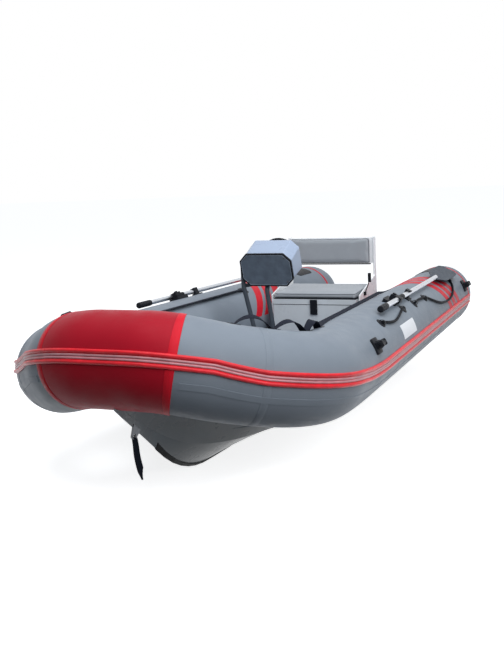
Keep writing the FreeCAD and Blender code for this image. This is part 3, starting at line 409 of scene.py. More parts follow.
def sweep(name, rings, materials, paint=None, closed=False):
    """Mesh through rings of points, its ends filled or joined. paint gives a ring side's material."""
    count = len(rings[0])
    points = [p for ring in rings for p in ring]
    faces, indices, uvs = [], [], []
    lengths = [0.0]
    for a, b in zip(rings, rings[1:] + rings[:1]):
        lengths.append(lengths[-1] + (b[0] - a[0]).length)
    around = [0.0]
    for j in range(count):
        around.append(around[-1] + (rings[0][(j + 1) % count] - rings[0][j]).length)
    for i in range(len(rings) - (0 if closed else 1)):
        for j in range(count):
            a, b = i * count + j, i * count + (j + 1) % count
            faces.append((a, b, (b + count) % len(points), (a + count) % len(points)))
            indices.append(paint[j] if paint else 0)
            u0, u1, v0, v1 = lengths[i], lengths[i + 1], around[j], around[j + 1]
            uvs.append(((u0, v0), (u0, v1), (u1, v1), (u1, v0)))
    for first in () if closed else (0, len(points) - count):
        faces.append(tuple(range(first, first + count)))
        indices.append(0)
        uvs.append(tuple((p.x, p.z) for p in points[first:first + count]))
    return mesh_object(name, points, faces, materials, indices, uvs)


def piece(name, rings, slot="black_plastic", body="boat", node=None, smooth=35.0, material=None,
          closed=False):
    """Piece of one finish through rings of points."""
    return add(sweep(name, rings, [material or finishes[slot]], closed=closed), body, node, smooth)


def oval(middle, first, second, count):
    """Points round an oval with the two half axes."""
    turns = [2 * math.pi * k / count for k in range(count)]
    return [middle + first * math.cos(a) + second * math.sin(a) for a in turns]


def lathe(rows, base, axis, segments=48, flutes=0, depth=0.0):
    """Turned form: rows of height along the axis and radius, with flutes round it."""
    first = axis.orthogonal().normalized()
    second = axis.cross(first)
    rings = []
    for height, radius in rows:
        middle = base + axis * height
        ring = oval(middle, first * radius, second * radius, segments)
        rings.append([middle + (p - middle) * (1 + depth * math.cos(flutes * 2 * math.pi * k / segments))
                      for k, p in enumerate(ring)])
    return rings


def torus(centre, axis, major, minor, around=48, section=12, waves=0, depth=0.0):
    """Closed ring round an axis, its section swelling in waves."""
    rings = []
    for i, ray in enumerate(oval(Vector(), axis.orthogonal().normalized(),
                                 axis.cross(axis.orthogonal().normalized()), around)):
        r = minor * (1 + depth * math.cos(waves * 2 * math.pi * i / around))
        rings.append(oval(centre + ray * major, ray * r, axis * r, section))
    return rings


def loop_bead(points, up, width, height, sides=10):
    """Closed bead of oval section round a line of points."""
    rings = []
    for before, here, after in zip(points[-1:] + points[:-1], points, points[1:] + points[:1]):
        out = (after - before).normalized().cross(up).normalized()
        rings.append(oval(here, out * (width / 2), up * (height / 2), sides))
    return rings


def slab(origin, axes, size, radius, low, high, edge):
    """Plate with round corners and a bevelled upper edge, standing along the first axis."""
    normal, across, forward = axes
    rings = []
    for lift, inset in ((low, 0.0), (high - edge, 0.0), (high - 0.3 * edge, 0.3 * edge), (high, edge)):
        w, h, r = size[0] / 2 - inset, size[1] / 2 - inset, max(radius - inset, 0.0004)
        ring = []
        for x, y, start in ((1, 1, 0), (-1, 1, 90), (-1, -1, 180), (1, -1, 270)):
            for k in range(7):
                a = math.radians(start + 15 * k)
                ring.append(origin + normal * lift + across * (x * (w - r) + r * math.cos(a))
                            + forward * (y * (h - r) + r * math.sin(a)))
        rings.append(ring)
    return rings


def rounded_polygon(corners, radius, steps=5, sides=1):
    """Points round a flat convex polygon, each corner an arc and each side cut into parts."""
    points = []
    for before, here, after in zip(corners[-1:] + corners[:-1], corners, corners[1:] + corners[:1]):
        back, ahead = (before - here).normalized(), (after - here).normalized()
        half = back.angle(ahead) / 2
        middle = here + (back + ahead).normalized() * (radius / math.sin(half))
        first = here + back * (radius / math.tan(half)) - middle
        last = here + ahead * (radius / math.tan(half)) - middle
        for k in range(steps + 1):
            points.append(middle + first.lerp(last, k / steps).normalized() * radius)
        reach = (after - here).length - 2 * radius / math.tan(half)
        points += [middle + last + ahead * (reach * k / sides) for k in range(1, sides)]
    return points


def band(first, last, angle_at, width, top, corner=0.0):
    """Strip of cloth on the tube, centred on the angle that angle_at(s) gives, its corners round."""
    marks = stations(first, last)
    if corner:
        ends = [corner * (1 - math.cos(math.radians(15 * k))) for k in range(1, 7)]
        marks = sorted(set(marks + [first + d for d in ends] + [last - d for d in ends]))
    columns = max(2, math.ceil(width / 0.016))
    rings = []
    for s in marks:
        half = width / 2
        short = corner - min(s - first, last - s)
        if short > 0:
            half -= corner - math.sqrt(max(corner ** 2 - short ** 2, 0.0))
        half = max(half, 0.001)
        spots = [(-half, top / 2)]
        spots += [((half - 0.0006) * (2 * k / columns - 1), top) for k in range(columns + 1)]
        spots += [(half, top / 2)]
        spots += [(half * (1 - 2 * k / columns), 0.0) for k in range(columns + 1)]
        rings.append([skin(s, angle_at(s) + math.degrees(across / TUBE_R), lift) for across, lift in spots])
    return rings


def hoop(s, width, low, top, first_deg=0.0, last_deg=360.0, slant=0.0, steps=72):
    """Strip of cloth round the tube. slant moves it aft as the angle grows, in metres over half a turn."""
    rings = []
    for k in range(steps + 1):
        degrees = first_deg + (last_deg - first_deg) * k / steps
        here = s + slant * (1 if s > 0 else -1) * (degrees - first_deg) / 180.0
        rings.append([skin(here + along, degrees, lift) for along, lift in (
            (-width / 2, low), (-width / 2, (low + top) / 2), (-width / 2 + 0.0008, top), (0.0, top),
            (width / 2 - 0.0008, top), (width / 2, (low + top) / 2), (width / 2, low), (0.0, low))])
    return rings


# Tube: chambers, red cover of the bow and stern cones with moulded caps
TUBE_SEGMENTS = 96
CONE_LENGTH = 0.29
CONE_END_R = 0.095
CONE_BEND_SHARE = 0.78
CONE_BEND_R = TUBE_R * 0.78
CAP_ROWS = ((-0.012, 0.1), (-0.006, 0.1), (-0.001, 0.097), (0.0, 0.09), (0.0, 0.05), (-0.002, 0.04),
            (-0.002, 0.01))


def tube_rings(first, last, lift=0.0):
    turns = [360.0 * k / TUBE_SEGMENTS for k in range(TUBE_SEGMENTS)]
    return [[skin(s, degrees, lift) for degrees in turns] for s in stations(first, last)]


def cone_radius(t):
    """Radius of the cone at a share of its length."""
    if t < CONE_BEND_SHARE:
        return TUBE_R - (TUBE_R - CONE_BEND_R) * (t / CONE_BEND_SHARE) ** 2.9
    return CONE_BEND_R + (CONE_END_R - CONE_BEND_R) * (t - CONE_BEND_SHARE) / (1 - CONE_BEND_SHARE)


def make_tube():
    piece("bow_tube", tube_rings(-CHAMBER_S, CHAMBER_S), "tube_fabric", node="bow_chamber", smooth=60.0)
    for side_name, side in SIDES:
        low, high = sorted((side * CHAMBER_S, side * S_END))
        rings = tube_rings(low, high)
        piece(side_name + "_tube", rings, "tube_fabric", node=side_name + "_chamber", smooth=60.0)
    piece("bow_cover", tube_rings(-PATCH_S, PATCH_S, PATCH_T), "red_fabric", node="bow_patch", smooth=60.0)


def make_cones(steps=40):
    for side_name, side in SIDES:
        centre, along, out, up = tube_frame(side * S_END)
        rings = []
        for k in range(steps + 1):
            r = cone_radius(k / steps)
            rings.append(oval(centre + along * (CONE_LENGTH * k / steps), out * r, up * r, TUBE_SEGMENTS))
        piece(side_name + "_cone", rings, "tube_fabric", node=side_name + "_stern_cone", smooth=60.0)
        piece(side_name + "_cone_cap", lathe(CAP_ROWS, centre + along * CONE_LENGTH, along, 64))


# Rub strake: red ribs along both edges with two gray ribs between them, their gray tinted pink as a painted
# reflection of the red ribs
STRAKE_W = 0.068
STRAKE_BOW_DEG = 15.0
STRAKE_AFT_DEG = -4.5
STRAKE_RIBS = ((-0.5, -0.2, 0.013, 0), (-0.18, -0.01, 0.0085, 1), (0.01, 0.18, 0.0085, 1),
               (0.2, 0.5, 0.013, 0))
GROOVE_LIFT = 0.004
STRAKES = (("bow", -PATCH_S, PATCH_S), ("port", PATCH_S, S_END), ("starboard", -S_END, -PATCH_S))


def strake_angle(s):
    return STRAKE_AFT_DEG + (STRAKE_BOW_DEG - STRAKE_AFT_DEG) * left_of_sheer(plan(abs(s))[1]) ** 1.5


def strake_profile():
    """Points across and off the skin, and the material of each side."""
    points, paints = [(-0.5 * STRAKE_W, 0.0)], []
    for low, high, rise, paint in STRAKE_RIBS:
        for k in range(9):
            t = k / 8
            bulge = math.sin(math.pi * t) ** 0.6 if 0 < k < 8 else 0.0
            points.append(((low + (high - low) * t) * STRAKE_W, GROOVE_LIFT + (rise - GROOVE_LIFT) * bulge))
            paints.append(paint if k else 0)
    return points + [(0.5 * STRAKE_W, 0.0)], paints + [0, 0]


def make_strakes():
    profile, paints = strake_profile()
    for name, first, last in STRAKES:
        rings = [[skin(s, strake_angle(s) + math.degrees(across / TUBE_R), lift) for across, lift in profile]
                 for s in stations(first, last)]
        strake = sweep(name + "_strake", rings, [finishes["strake_rubber"], strake_gray_pink_reflection], paints)
        add(strake, node="rub_strake_" + name, smooth=50.0)


# Tapes over joints, stripes, seams, grip pads and patches under the hand lines
TAPE_W = 0.024
TAPE_T = 0.0014
CHAMBER_TAPE_W = 0.03
CHAMBER_TAPE_T = 0.0012
STRIPE_PLACES = (3.26, 3.395, 3.53)
STRIPE_W = 0.09
STRIPE_T = 0.001
STRIPE_FROM_DEG = 4.0
STRIPE_TO_DEG = 175.0
STRIPE_SLANT = -0.6
SEAM_W = 0.032
SEAM_T = 0.0018
SEAM_START = 0.28
SEAM_BELOW_STRAKE_DEG = 26.0
INNER_SEAM_DEG = 205.0
GRIP_PAD_SPAN = (3.62, 3.86)
GRIP_PAD_DEG = 96.0
GRIP_PAD_W = 0.2
GRIP_PAD_T = 0.003
GRIP_PAD_CORNER = 0.03
LINE_PATCH_PLACES = (0.47, 0.672, 0.92, 1.19, 2.71)
LINE_PATCH_HALF = 0.034
LINE_PATCH_W = 0.07
LINE_PATCH_T = 0.0016
LINE_PATCH_CORNER = 0.014
HAND_LINE_BOW_DEG = 98.0
HAND_LINE_TURN_DEG = 19.0


def hand_line_angle(s):
    return HAND_LINE_BOW_DEG + HAND_LINE_TURN_DEG * ease(abs(s), 1.0, 1.52)


def make_tapes():
    for side_name, side in SIDES:
        rings = hoop(side * (PATCH_S - TAPE_W / 2), TAPE_W, PATCH_T, PATCH_T + TAPE_T)
        piece(side_name + "_patch_tape", rings, "red_fabric", material=tape_red)
        rings = hoop(side * CHAMBER_S, CHAMBER_TAPE_W, 0.0, CHAMBER_TAPE_T)
        piece(side_name + "_chamber_tape", rings, "tube_fabric")
        rings = hoop(side * (S_END - TAPE_W / 2), TAPE_W, 0.0, TAPE_T)
        piece(side_name + "_cone_tape", rings, "red_fabric", material=tape_red)
        for number, s in enumerate(STRIPE_PLACES):
            rings = hoop(side * s, STRIPE_W, 0.0, STRIPE_T, STRIPE_FROM_DEG, STRIPE_TO_DEG, STRIPE_SLANT)
            piece(f"{side_name}_stripe_{number + 1}", rings, "red_fabric", material=tape_red)
        low, high = sorted((side * SEAM_START, side * S_END))
        for seam_name, angle_at in (("lower", lambda s: strake_angle(s) - SEAM_BELOW_STRAKE_DEG),
                                    ("inner", lambda s: INNER_SEAM_DEG)):
            piece(f"{side_name}_{seam_name}_seam", band(low, high, angle_at, SEAM_W, SEAM_T), "tube_fabric")
        low, high = sorted(side * s for s in GRIP_PAD_SPAN)
        rings = band(low, high, lambda s: GRIP_PAD_DEG, GRIP_PAD_W, GRIP_PAD_T, GRIP_PAD_CORNER)
        piece(side_name + "_grip_pad", rings)
        for number, s in enumerate(LINE_PATCH_PLACES):
            low, high = side * s - LINE_PATCH_HALF, side * s + LINE_PATCH_HALF
            rings = band(low, high, hand_line_angle, LINE_PATCH_W, LINE_PATCH_T, LINE_PATCH_CORNER)
            piece(f"{side_name}_line_patch_{number + 1}", rings)


# Lines that follow a route
def route(points):
    """Points along the smooth line that a route's points control."""
    curve = bpy.data.curves.new("route", "CURVE")
    curve.dimensions = "3D"
    curve.resolution_u = 12
    spline = curve.splines.new("NURBS")
    spline.points.add(len(points) - 1)
    for place, point in zip(spline.points, points):
        place.co = (*point, 1.0)
    spline.order_u = 3
    spline.use_endpoint_u = True
    holder = bpy.data.objects.new("route", curve)
    bpy.context.scene.collection.objects.link(holder)
    bpy.context.view_layer.update()
    mesh = bpy.data.meshes.new_from_object(holder.evaluated_get(bpy.context.evaluated_depsgraph_get()))
    line = [v.co.copy() for v in mesh.vertices]
    bpy.data.objects.remove(holder)
    bpy.data.curves.remove(curve)
    bpy.data.meshes.remove(mesh)
    return line


def directions(line):
    middle = [(after - before).normalized() for before, after in zip(line, line[2:])]
    return [(line[1] - line[0]).normalized()] + middle + [(line[-1] - line[-2]).normalized()]


def round_line(line, radius, segments=16):
    """Tube along a line, its section carried along without twist."""
    normal = Vector((0.13, 0.21, 0.97))
    rings = []
    for point, tangent in zip(line, directions(line)):
        normal = (normal - tangent * normal.dot(tangent)).normalized()
        rings.append(oval(point, normal * radius, tangent.cross(normal) * radius, segments))
    return rings


# Bow strap: webbing that hangs from a ring in the bow eye, doubled over most of its length
EYE_HOLE = Vector((0.0, -1.674712, 0.058792))
STRAP_STEPS = ((0.0, -0.01), (0.005, -0.05), (0.005, -0.095), (0.014, -0.14), (0.027, -0.184),
               (0.042, -0.226))
STRAP_W = 0.026
STRAP_T = 0.005
FOLD_T = 0.004
FOLD_ENDS_EARLY = 9
EYE_RING_R = 0.0125


def flat_rings(line, across, thickness):
    """Sections of a strap along a line, narrower over its last sixth."""
    rings = []
    for k, (point, tangent) in enumerate(zip(line, directions(line))):
        narrow = 1 - 0.65 * ease(k / (len(line) - 1), 0.84, 1.0)
        side = (across - tangent * across.dot(tangent)).normalized() * narrow * STRAP_W / 2
        face = side.cross(tangent).normalized() * thickness / 2
        rings.append([point + side * a + face * b for a, b in (
            (-1, -0.6), (-0.94, -1), (0.94, -1), (1, -0.6), (1, 0.6), (0.94, 1), (-0.94, 1), (-1, 0.6))])
    return rings


def make_strap():
    line = route([EYE_HOLE + Vector((0, dy, dz)) for dy, dz in STRAP_STEPS])
    strap = piece("bow_eye_strap", flat_rings(line, PORT, STRAP_T), "black_webbing", node="bow_strap")
    fold_line = [p + Vector((0.006 + 0.05 * (line[0].z - p.z), -STRAP_T, 0)) for p in line[:-FOLD_ENDS_EARLY]]
    fold = piece("bow_strap_fold", flat_rings(fold_line, Vector((0.93, 0.37, 0)), FOLD_T), "black_webbing")
    rings = torus(EYE_HOLE - UP * EYE_RING_R, AFT, EYE_RING_R, 0.003)
    piece("bow_eye_ring", rings, "polished_steel", smooth=60.0, material=dull_steel, closed=True)


# Safety ropes, from the arc length and angle of each point of their routes
ROPE_D = 0.015
ROPE_LIFT = 0.0099
FORE_ROPE = ((1.66, 49.0), (1.745, 43.0), (1.85, 40.0), (1.95, 42.5), (2.04, 46.0), (2.11, 49.0),
             (2.16, 49.5))
AFT_ROPE = ((2.42, 47.0), (2.52, 48.5), (2.61, 47.0), (2.692, 46.0), (2.78, 36.0), (2.9, 26.0), (3.03, 21.0),
            (3.17, 19.5), (3.29, 21.0), (3.39, 26.0), (3.48, 34.0), (3.545, 46.0), (3.56, 60.0), (3.5, 72.0))
rope_lines = {(side_name, rope_name): route([skin(side * s, degrees, ROPE_LIFT) for s, degrees in places])
              for side_name, side in SIDES for rope_name, places in (("fore", FORE_ROPE), ("aft", AFT_ROPE))}


def make_ropes():
    for (side_name, rope_name), line in rope_lines.items():
        node = "safety_ropes" if (side_name, rope_name) == ("port", "fore") else None
        rings = round_line(line, ROPE_D / 2)
        piece(f"{side_name}_{rope_name}_rope", rings, "black_rope", node=node, smooth=60.0)


# Hand lines: webbing with three loops ahead, then on edge along the inner top
HUMP_RISE = 0.036
HUMP_LEAN = math.radians(26.0)
HUMPS = ((0.48, 0.656), (0.688, 0.896), (0.944, 1.168))
EDGE_TWIST = math.radians(32.0)
EDGE_SPAN = (1.168, 1.3, 2.6)
WEBBING_W = 0.038
WEBBING_T = 0.003
WEBBING_LIFT = 0.0022
HAND_LINE_START = 0.46
HAND_LINE_END = 2.728
HAND_LINE_STEPS = 320


def hump(s):
    for low, high in HUMPS:
        if low < s < high:
            return math.sin(math.pi * (s - low) / (high - low)) ** 0.75
    return 0.0


def hand_line_ring(s, side):
    """Section of the webbing, turned about its outboard edge where it leans."""
    low, high, end = EDGE_SPAN
    twist = EDGE_TWIST * ease(s, low, high) * (1 - ease(s, end, HAND_LINE_END)) + HUMP_LEAN * hump(s)
    half = WEBBING_T / 2
    corner = half * 0.3
    ring = []
    for along, thick in ((0.0, -corner), (0.001, -half), (WEBBING_W - 0.001, -half), (WEBBING_W, -corner),
                         (WEBBING_W, corner), (WEBBING_W - 0.001, half), (0.001, half), (0.0, corner)):
        across = -WEBBING_W / 2 + along * math.cos(twist) - thick * math.sin(twist)
        lift = WEBBING_LIFT + hump(s) * HUMP_RISE + along * math.sin(twist) + thick * math.cos(twist)
        ring.append(skin(side * s, hand_line_angle(s) + math.degrees(across / TUBE_R), lift))
    return ring


def make_hand_lines():
    run = HAND_LINE_END - HAND_LINE_START
    places = [HAND_LINE_START + run * k / HAND_LINE_STEPS for k in range(HAND_LINE_STEPS + 1)]
    for side_name, side in SIDES:
        rings = [hand_line_ring(s, side) for s in places]
        piece(side_name + "_hand_line", rings, "black_webbing", node="hand_lines" if side > 0 else None)


# Cushions
SWELL = 0.006
VOXEL = 0.006
PRESSURE = 4.0
PIPING_D = 0.005
PIPING_BEND_R = 0.02
SEAT_DROP = 0.025


def rounded_block(name, low, high, corner, drop):
    """Block with round edges, from its lowest and highest corners, its top lower by drop in front."""
    bm = bmesh.new()
    bmesh.ops.create_cube(bm, size=1.0)
    size = high - low
    middle = (low + high) / 2
    bmesh.ops.transform(bm, matrix=Matrix.Translation(middle) @ Matrix.Diagonal((*size, 1.0)), verts=bm.verts)
    for vertex in bm.verts:
        if vertex.co.z > middle.z:
            vertex.co.z -= drop * (high.y - vertex.co.y) / size.y
    bmesh.ops.bevel(bm, geom=bm.edges[:], offset=corner, segments=5, profile=0.5, affect="EDGES")
    mesh = bpy.data.meshes.new(name)
    bm.to_mesh(mesh)
    bm.free()
    mesh.materials.append(finishes["cushion_vinyl"])
    obj = bpy.data.objects.new(name, mesh)
    bpy.context.scene.collection.objects.link(obj)
    return obj


def stuff(obj):
    """Swell a block into a cushion with a cloth simulation, no point moved further than SWELL."""
    bpy.context.view_layer.objects.active = obj
    obj.data.remesh_voxel_size = VOXEL
    with bpy.context.temp_override(active_object=obj, object=obj, selected_objects=[obj]):
        bpy.ops.object.voxel_remesh()
    rest = [v.co.copy() for v in obj.data.vertices]
    cloth = obj.modifiers.new("cloth", "CLOTH")
    cloth.settings.use_pressure = True
    cloth.settings.uniform_pressure_force = PRESSURE
    cloth.settings.effector_weights.gravity = 0.0
    cloth.settings.quality = 5
    for step in range(1, 21):
        bpy.context.scene.frame_set(step)
    swollen = bpy.data.meshes.new_from_object(obj.evaluated_get(bpy.context.evaluated_depsgraph_get()))
    moved = [v.co.copy() for v in swollen.vertices]
    obj.modifiers.clear()
    bpy.data.meshes.remove(swollen)
    for vertex, start, end in zip(obj.data.vertices, rest, moved):
        step = end - start
        if step.length > SWELL:
            step *= SWELL / step.length
        vertex.co = start + step
    bpy.context.scene.frame_set(1)
    subdivision = obj.modifiers.new("subdivision", "SUBSURF")
    subdivision.levels = 1
    subdivision.render_levels = 1


def cushion(name, node, body, corner, drop=0.0):
    low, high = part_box(node)
    shrink = Vector((SWELL, SWELL, SWELL))
    block = rounded_block(name, low + shrink, high - shrink, corner, drop)
    stuff(block)
    add(block, body, node, 80.0)
    return block


def piping(name, pad, corners, body):
    """Round cord sewn along the pad, laid on its surface near a line with round corners."""
    surface = BVHTree.FromObject(pad, bpy.context.evaluated_depsgraph_get())
    line = [surface.find_nearest(point)[0] for point in rounded_polygon(corners, PIPING_BEND_R, 8, 12)]
    across = (corners[1] - corners[0]).cross(corners[2] - corners[1]).normalized()
    piece(name, loop_bead(line, across, PIPING_D, PIPING_D, 8), "cushion_vinyl", body, smooth=60.0,
          material=piping_vinyl, closed=True)


def plan_corners(low, high, inset, z_of):
    """Corners of an upright box's plan, a little inside, at the height that z_of(y) gives."""
    x0, x1, y0, y1 = low.x + inset, high.x - inset, low.y + inset, high.y - inset
    return [Vector((x, y, z_of(y))) for x, y in ((x1, y1), (x0, y1), (x0, y0), (x1, y0))]


def make_cushions():
    seat_pad = cushion("seat_pad", "seat_cushion", "lid", 0.012, SEAT_DROP)
    back_pad = cushion("back_pad", "backrest_cushion", "boat", 0.01)
    low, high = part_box("seat_cushion")
    slope = SEAT_DROP / (high.y - low.y)
    corners = plan_corners(low, high, 0.008, lambda y: high.z - 0.01 - slope * (high.y - y))
    piping("seat_pad_top_piping", seat_pad, corners, "lid")
    # The low piping's dark vinyl along the cushion's foot also stands in for painted shade between cushion
    # and lid.
    piping("seat_pad_low_piping", seat_pad, plan_corners(low, high, 0.008, lambda y: low.z + 0.012), "lid")
    low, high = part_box("backrest_cushion")
    x0, x1, z0, z1 = low.x + 0.011, high.x - 0.011, low.z + 0.011, high.z - 0.011
    front = low.y + 0.01
    corners = [Vector((x, front, z)) for x, z in ((x1, z1), (x0, z1), (x0, z0), (x1, z0))]
    piping("back_pad_piping", back_pad, corners, "boat")


# Seat trim and the round edges of the solids that stay
EDGE_R = {"seat_box": 0.006, "seat_lid": 0.004, "backrest_posts": 0.0025, "backrest_board": 0.003,
          "seat_latch": 0.002, "transom": 0.005, "oar_clips": 0.0015, "rowlock_bases": 0.0015,
          "port_rowlock_collar": 0.0015, "starboard_rowlock_collar": 0.0015, "motor_pads": 0.002}


def foot_board_and_shadow(name, node, body, trim, radius, height):
    """Black board just inside a cushion's outline, at its foot; its black also stands for the painted shadow
    line under the cushion.
    """
    low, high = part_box(node)
    place = Vector((0, (low.y + high.y) / 2, low.z))
    size = (high.x - low.x - trim[0], high.y - low.y - trim[1])
    piece(name, slab(place, (UP, PORT, AFT), size, radius, 0.0, height, 0.001), body=body)


def make_seat_trim():
    # Black board under the seat pad: partly a real base, partly a painted shadow line between cushion and
    # lid.
    foot_board_and_shadow("seat_pad_board_and_shadow", "seat_cushion", "lid", (0.004, 0.004), 0.012, 0.006)
    foot_board_and_shadow("back_pad_strip", "backrest_cushion", "boat", (0.01, 0.008), 0.006, 0.0055)
    low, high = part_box("seat_box")
    line = rounded_polygon(plan_corners(low, high, 0.0, lambda y: high.z - 0.0018), 0.012, 6)
    # Dark bead round the box's rim under the lid: a seal that also stands in for the painted shadow line
    # under the lid.
    piece("lid_seal_painted_shadow", loop_bead(line, UP, 0.003, 0.0034), smooth=60.0, closed=True)


def round_edges():
    for name, width in EDGE_R.items():
        weld = frame["nodes"][name].modifiers.new("weld", "WELD")
        weld.merge_threshold = 0.00005
        bevel = frame["nodes"][name].modifiers.new("round_edges", "BEVEL")
        bevel.width = width
        bevel.segments = 3
        bevel.limit_method = "ANGLE"
        bevel.angle_limit = math.radians(40.0)
        bevel.harden_normals = True


# Console: sloping axes, plate with a dark rim and a pale bead painted as a highlight line, pod
TILT = math.radians(16.0)
BACK = Vector((0, math.cos(TILT), math.sin(TILT)))
RISE = Vector((0, -math.sin(TILT), math.cos(TILT)))
PLATE_MIDDLE = Vector((0, -0.127, 0.647))
PLATE_SIZE = (0.338, 0.209, 0.047)
PLATE_T = 0.014
POD_FRONT = PLATE_MIDDLE + BACK * PLATE_T
POD_FRONT_SIZE = (0.33, 0.201, 0.047)
POD_BACK = Vector((0, 0.03006, 0.71181))
POD_BACK_SIZE = (0.33, 0.226, 0.047)
POD_DEPTH = (POD_BACK - POD_FRONT).dot(BACK)
POD_EDGE = 0.009
POD_FRONT_EDGE = 0.0015
SCREW_ACROSS = 0.128
SCREW_RISE = 0.076
RIM_STEPS = ((PLATE_T, 0.0), (0.002, 0.0), (0.0006, 0.0006), (0.0, 0.002), (0.0, 0.0075), (0.0008, 0.0085),
             (0.0035, 0.009))
PANEL_STEPS = ((0.005, 0.0105), (0.002, 0.0105), (0.0006, 0.0112), (0.0, 0.013), (0.0, 0.0165),
               (0.0012, 0.0175), (0.0012, 0.019), (0.0003, 0.02), (0.0003, 0.03))
SCREW_ROWS = ((-0.002, 0.0055), (0.0005, 0.0055), (0.0014, 0.0045), (0.0018, 0.003), (0.0012, 0.0028),
              (0.0012, 0.0005))


def octagon_ring(middle, size, inset, radius):
    """Eight sided outline with round corners, square to the console's slope."""
    cut = size[2] - inset * (2 - math.sqrt(2))
    w, h = size[0] / 2 - inset, size[1] / 2 - inset
    corners = [PORT * x + RISE * z for x, z in ((w, h - cut), (w - cut, h), (cut - w, h), (-w, h - cut),
                                                (-w, cut - h), (cut - w, -h), (w - cut, -h), (w, cut - h))]
    return [middle + p for p in rounded_polygon(corners, radius)]


def plate_rings(steps):
    """Rings of the plate from steps of depth behind its front face and inset from its rim."""
    return [octagon_ring(PLATE_MIDDLE + BACK * depth, PLATE_SIZE, inset, max(0.01 - inset, 0.003))
            for depth, inset in steps]


def pod_ring(depth, inset, radius=0.014):
    share = depth / POD_DEPTH
    size = [a + (b - a) * share for a, b in zip(POD_FRONT_SIZE, POD_BACK_SIZE)]
    return octagon_ring(POD_FRONT.lerp(POD_BACK, share), size, inset, radius)


def make_console():
    piece("console_rim", plate_rings(RIM_STEPS), "dark_plate", node="console_plate",
          material=finishes["black_plastic"])
    piece("console_panel", plate_rings(PANEL_STEPS), "dark_plate", material=panel_gray)
    # Pale bead between rim and panel: a painted highlight line.
    line = octagon_ring(PLATE_MIDDLE + BACK * 0.0012, PLATE_SIZE, 0.0098, 0.0035)
    piece("console_bead_painted_highlight", loop_bead(line, BACK, 0.0026, 0.003), "dark_plate", smooth=60.0, material=bead_highlight_paint,
          closed=True)
    for side_name, side in SIDES:
        for row_name, row in (("top", 1), ("low", -1)):
            place = PLATE_MIDDLE + PORT * (SCREW_ACROSS * side) + RISE * (SCREW_RISE * row)
            piece(f"console_screw_{side_name}_{row_name}", lathe(SCREW_ROWS, place, -BACK, 24), "dark_plate",
                  material=dull_steel)
    rings = [pod_ring(0.0, POD_FRONT_EDGE), pod_ring(POD_FRONT_EDGE, 0.0)]
    run = POD_DEPTH - POD_EDGE - POD_FRONT_EDGE
    rings += [pod_ring(POD_FRONT_EDGE + run * k / 6, 0.0) for k in range(1, 7)]
    for k in range(1, 7):
        a = math.radians(15 * k)
        depth = POD_DEPTH - POD_EDGE + POD_EDGE * math.sin(a)
        rings.append(pod_ring(depth, POD_EDGE * (1 - math.cos(a)), 0.012))
    rings += [pod_ring(POD_DEPTH, 0.02, 0.008), pod_ring(POD_DEPTH - DASH_SINK, 0.022, 0.008)]
    piece("console_body", rings, "white_paint", node="console_pod", smooth=50.0)


# Dash: panel, two blank gauges with marks, four switches
DASH_SINK = 0.003
DASH = POD_BACK - BACK * DASH_SINK
DASH_STEPS = ((-0.003, 0.0235), (0.001, 0.0235), (0.0022, 0.0245), (0.0025, 0.027))
GAUGE_ROWS = ((0.0, 0.031), (0.0055, 0.031), (0.0075, 0.0295), (0.0075, 0.027), (0.0045, 0.0255),
              (0.0045, 0.001))
GAUGE_ACROSS = 0.092
GAUGE_RISE = 0.042
MARK_HALF_W = 0.0006
MARK_DEPTHS = (0.0046, 0.005)
MARK_SPOTS = ((0.019, -1), (0.024, -1), (0.024, 1), (0.019, 1))
MARK_FACES = ((0, 1, 2, 3), (4, 5, 6, 7), (0, 1, 5, 4), (1, 2, 6, 5), (2, 3, 7, 6), (3, 0, 4, 7))
SWITCH_PITCH = 0.03
SWITCH_RISE = 0.072
SWITCH_SIZE = (0.019, 0.03)


def make_dash():
    rings = [octagon_ring(DASH + BACK * depth, POD_BACK_SIZE, inset, 0.006) for depth, inset in DASH_STEPS]
    piece("dash_panel", rings, "dark_plate", material=panel_gray)
    for side_name, side in SIDES:
        place = DASH + PORT * (GAUGE_ACROSS * side) + RISE * GAUGE_RISE
        piece(side_name + "_gauge", lathe(GAUGE_ROWS, place, BACK))
        points = []
        for k in range(11):
            a = math.radians(-30 + 24 * k)
            ray = PORT * math.cos(a) + RISE * math.sin(a)
            half = BACK.cross(ray) * MARK_HALF_W
            for depth in MARK_DEPTHS:
                points += [place + BACK * depth + ray * r + half * s for r, s in MARK_SPOTS]
        faces = [tuple(first + i for i in face) for first in range(0, len(points), 8) for face in MARK_FACES]
        add(mesh_object(side_name + "_gauge_marks", points, faces, [dial_white]))
    for k in range(4):
        place = DASH + PORT * (SWITCH_PITCH * (k - 1.5)) + RISE * SWITCH_RISE
        piece(f"dash_switch_{k + 1}", slab(place, (BACK, PORT, RISE), SWITCH_SIZE, 0.003, 0.0, 0.007, 0.002))


# Steering wheel with grip ribs, three spokes and a hub, and the boot round its shaft
WHEEL = Vector((0, 0.10344373810942076, 0.7))
WHEEL_R = 0.12
RIM_R = 0.0102
SPOKE_FROM = 0.018
SPOKE_TO = WHEEL_R - 0.006
SPOKE_HALF_T = 0.0055
HUB_ROWS = ((-0.014, 0.02), (-0.012, 0.024), (-0.004, 0.026), (0.006, 0.026), (0.009, 0.0245),
            (0.0095, 0.021), (0.011, 0.02), (0.012, 0.017), (0.0122, 0.001))
BOOT_ROWS = ((0.0, 0.034), (0.003, 0.034), (0.004, 0.028), (0.008, 0.024), (0.011, 0.0255), (0.014, 0.0205),
             (0.018, 0.022), (0.021, 0.0165), (0.026, 0.0165), (0.028, 0.0125), (0.028, 0.0105))
BOOT_SINK = 0.0025


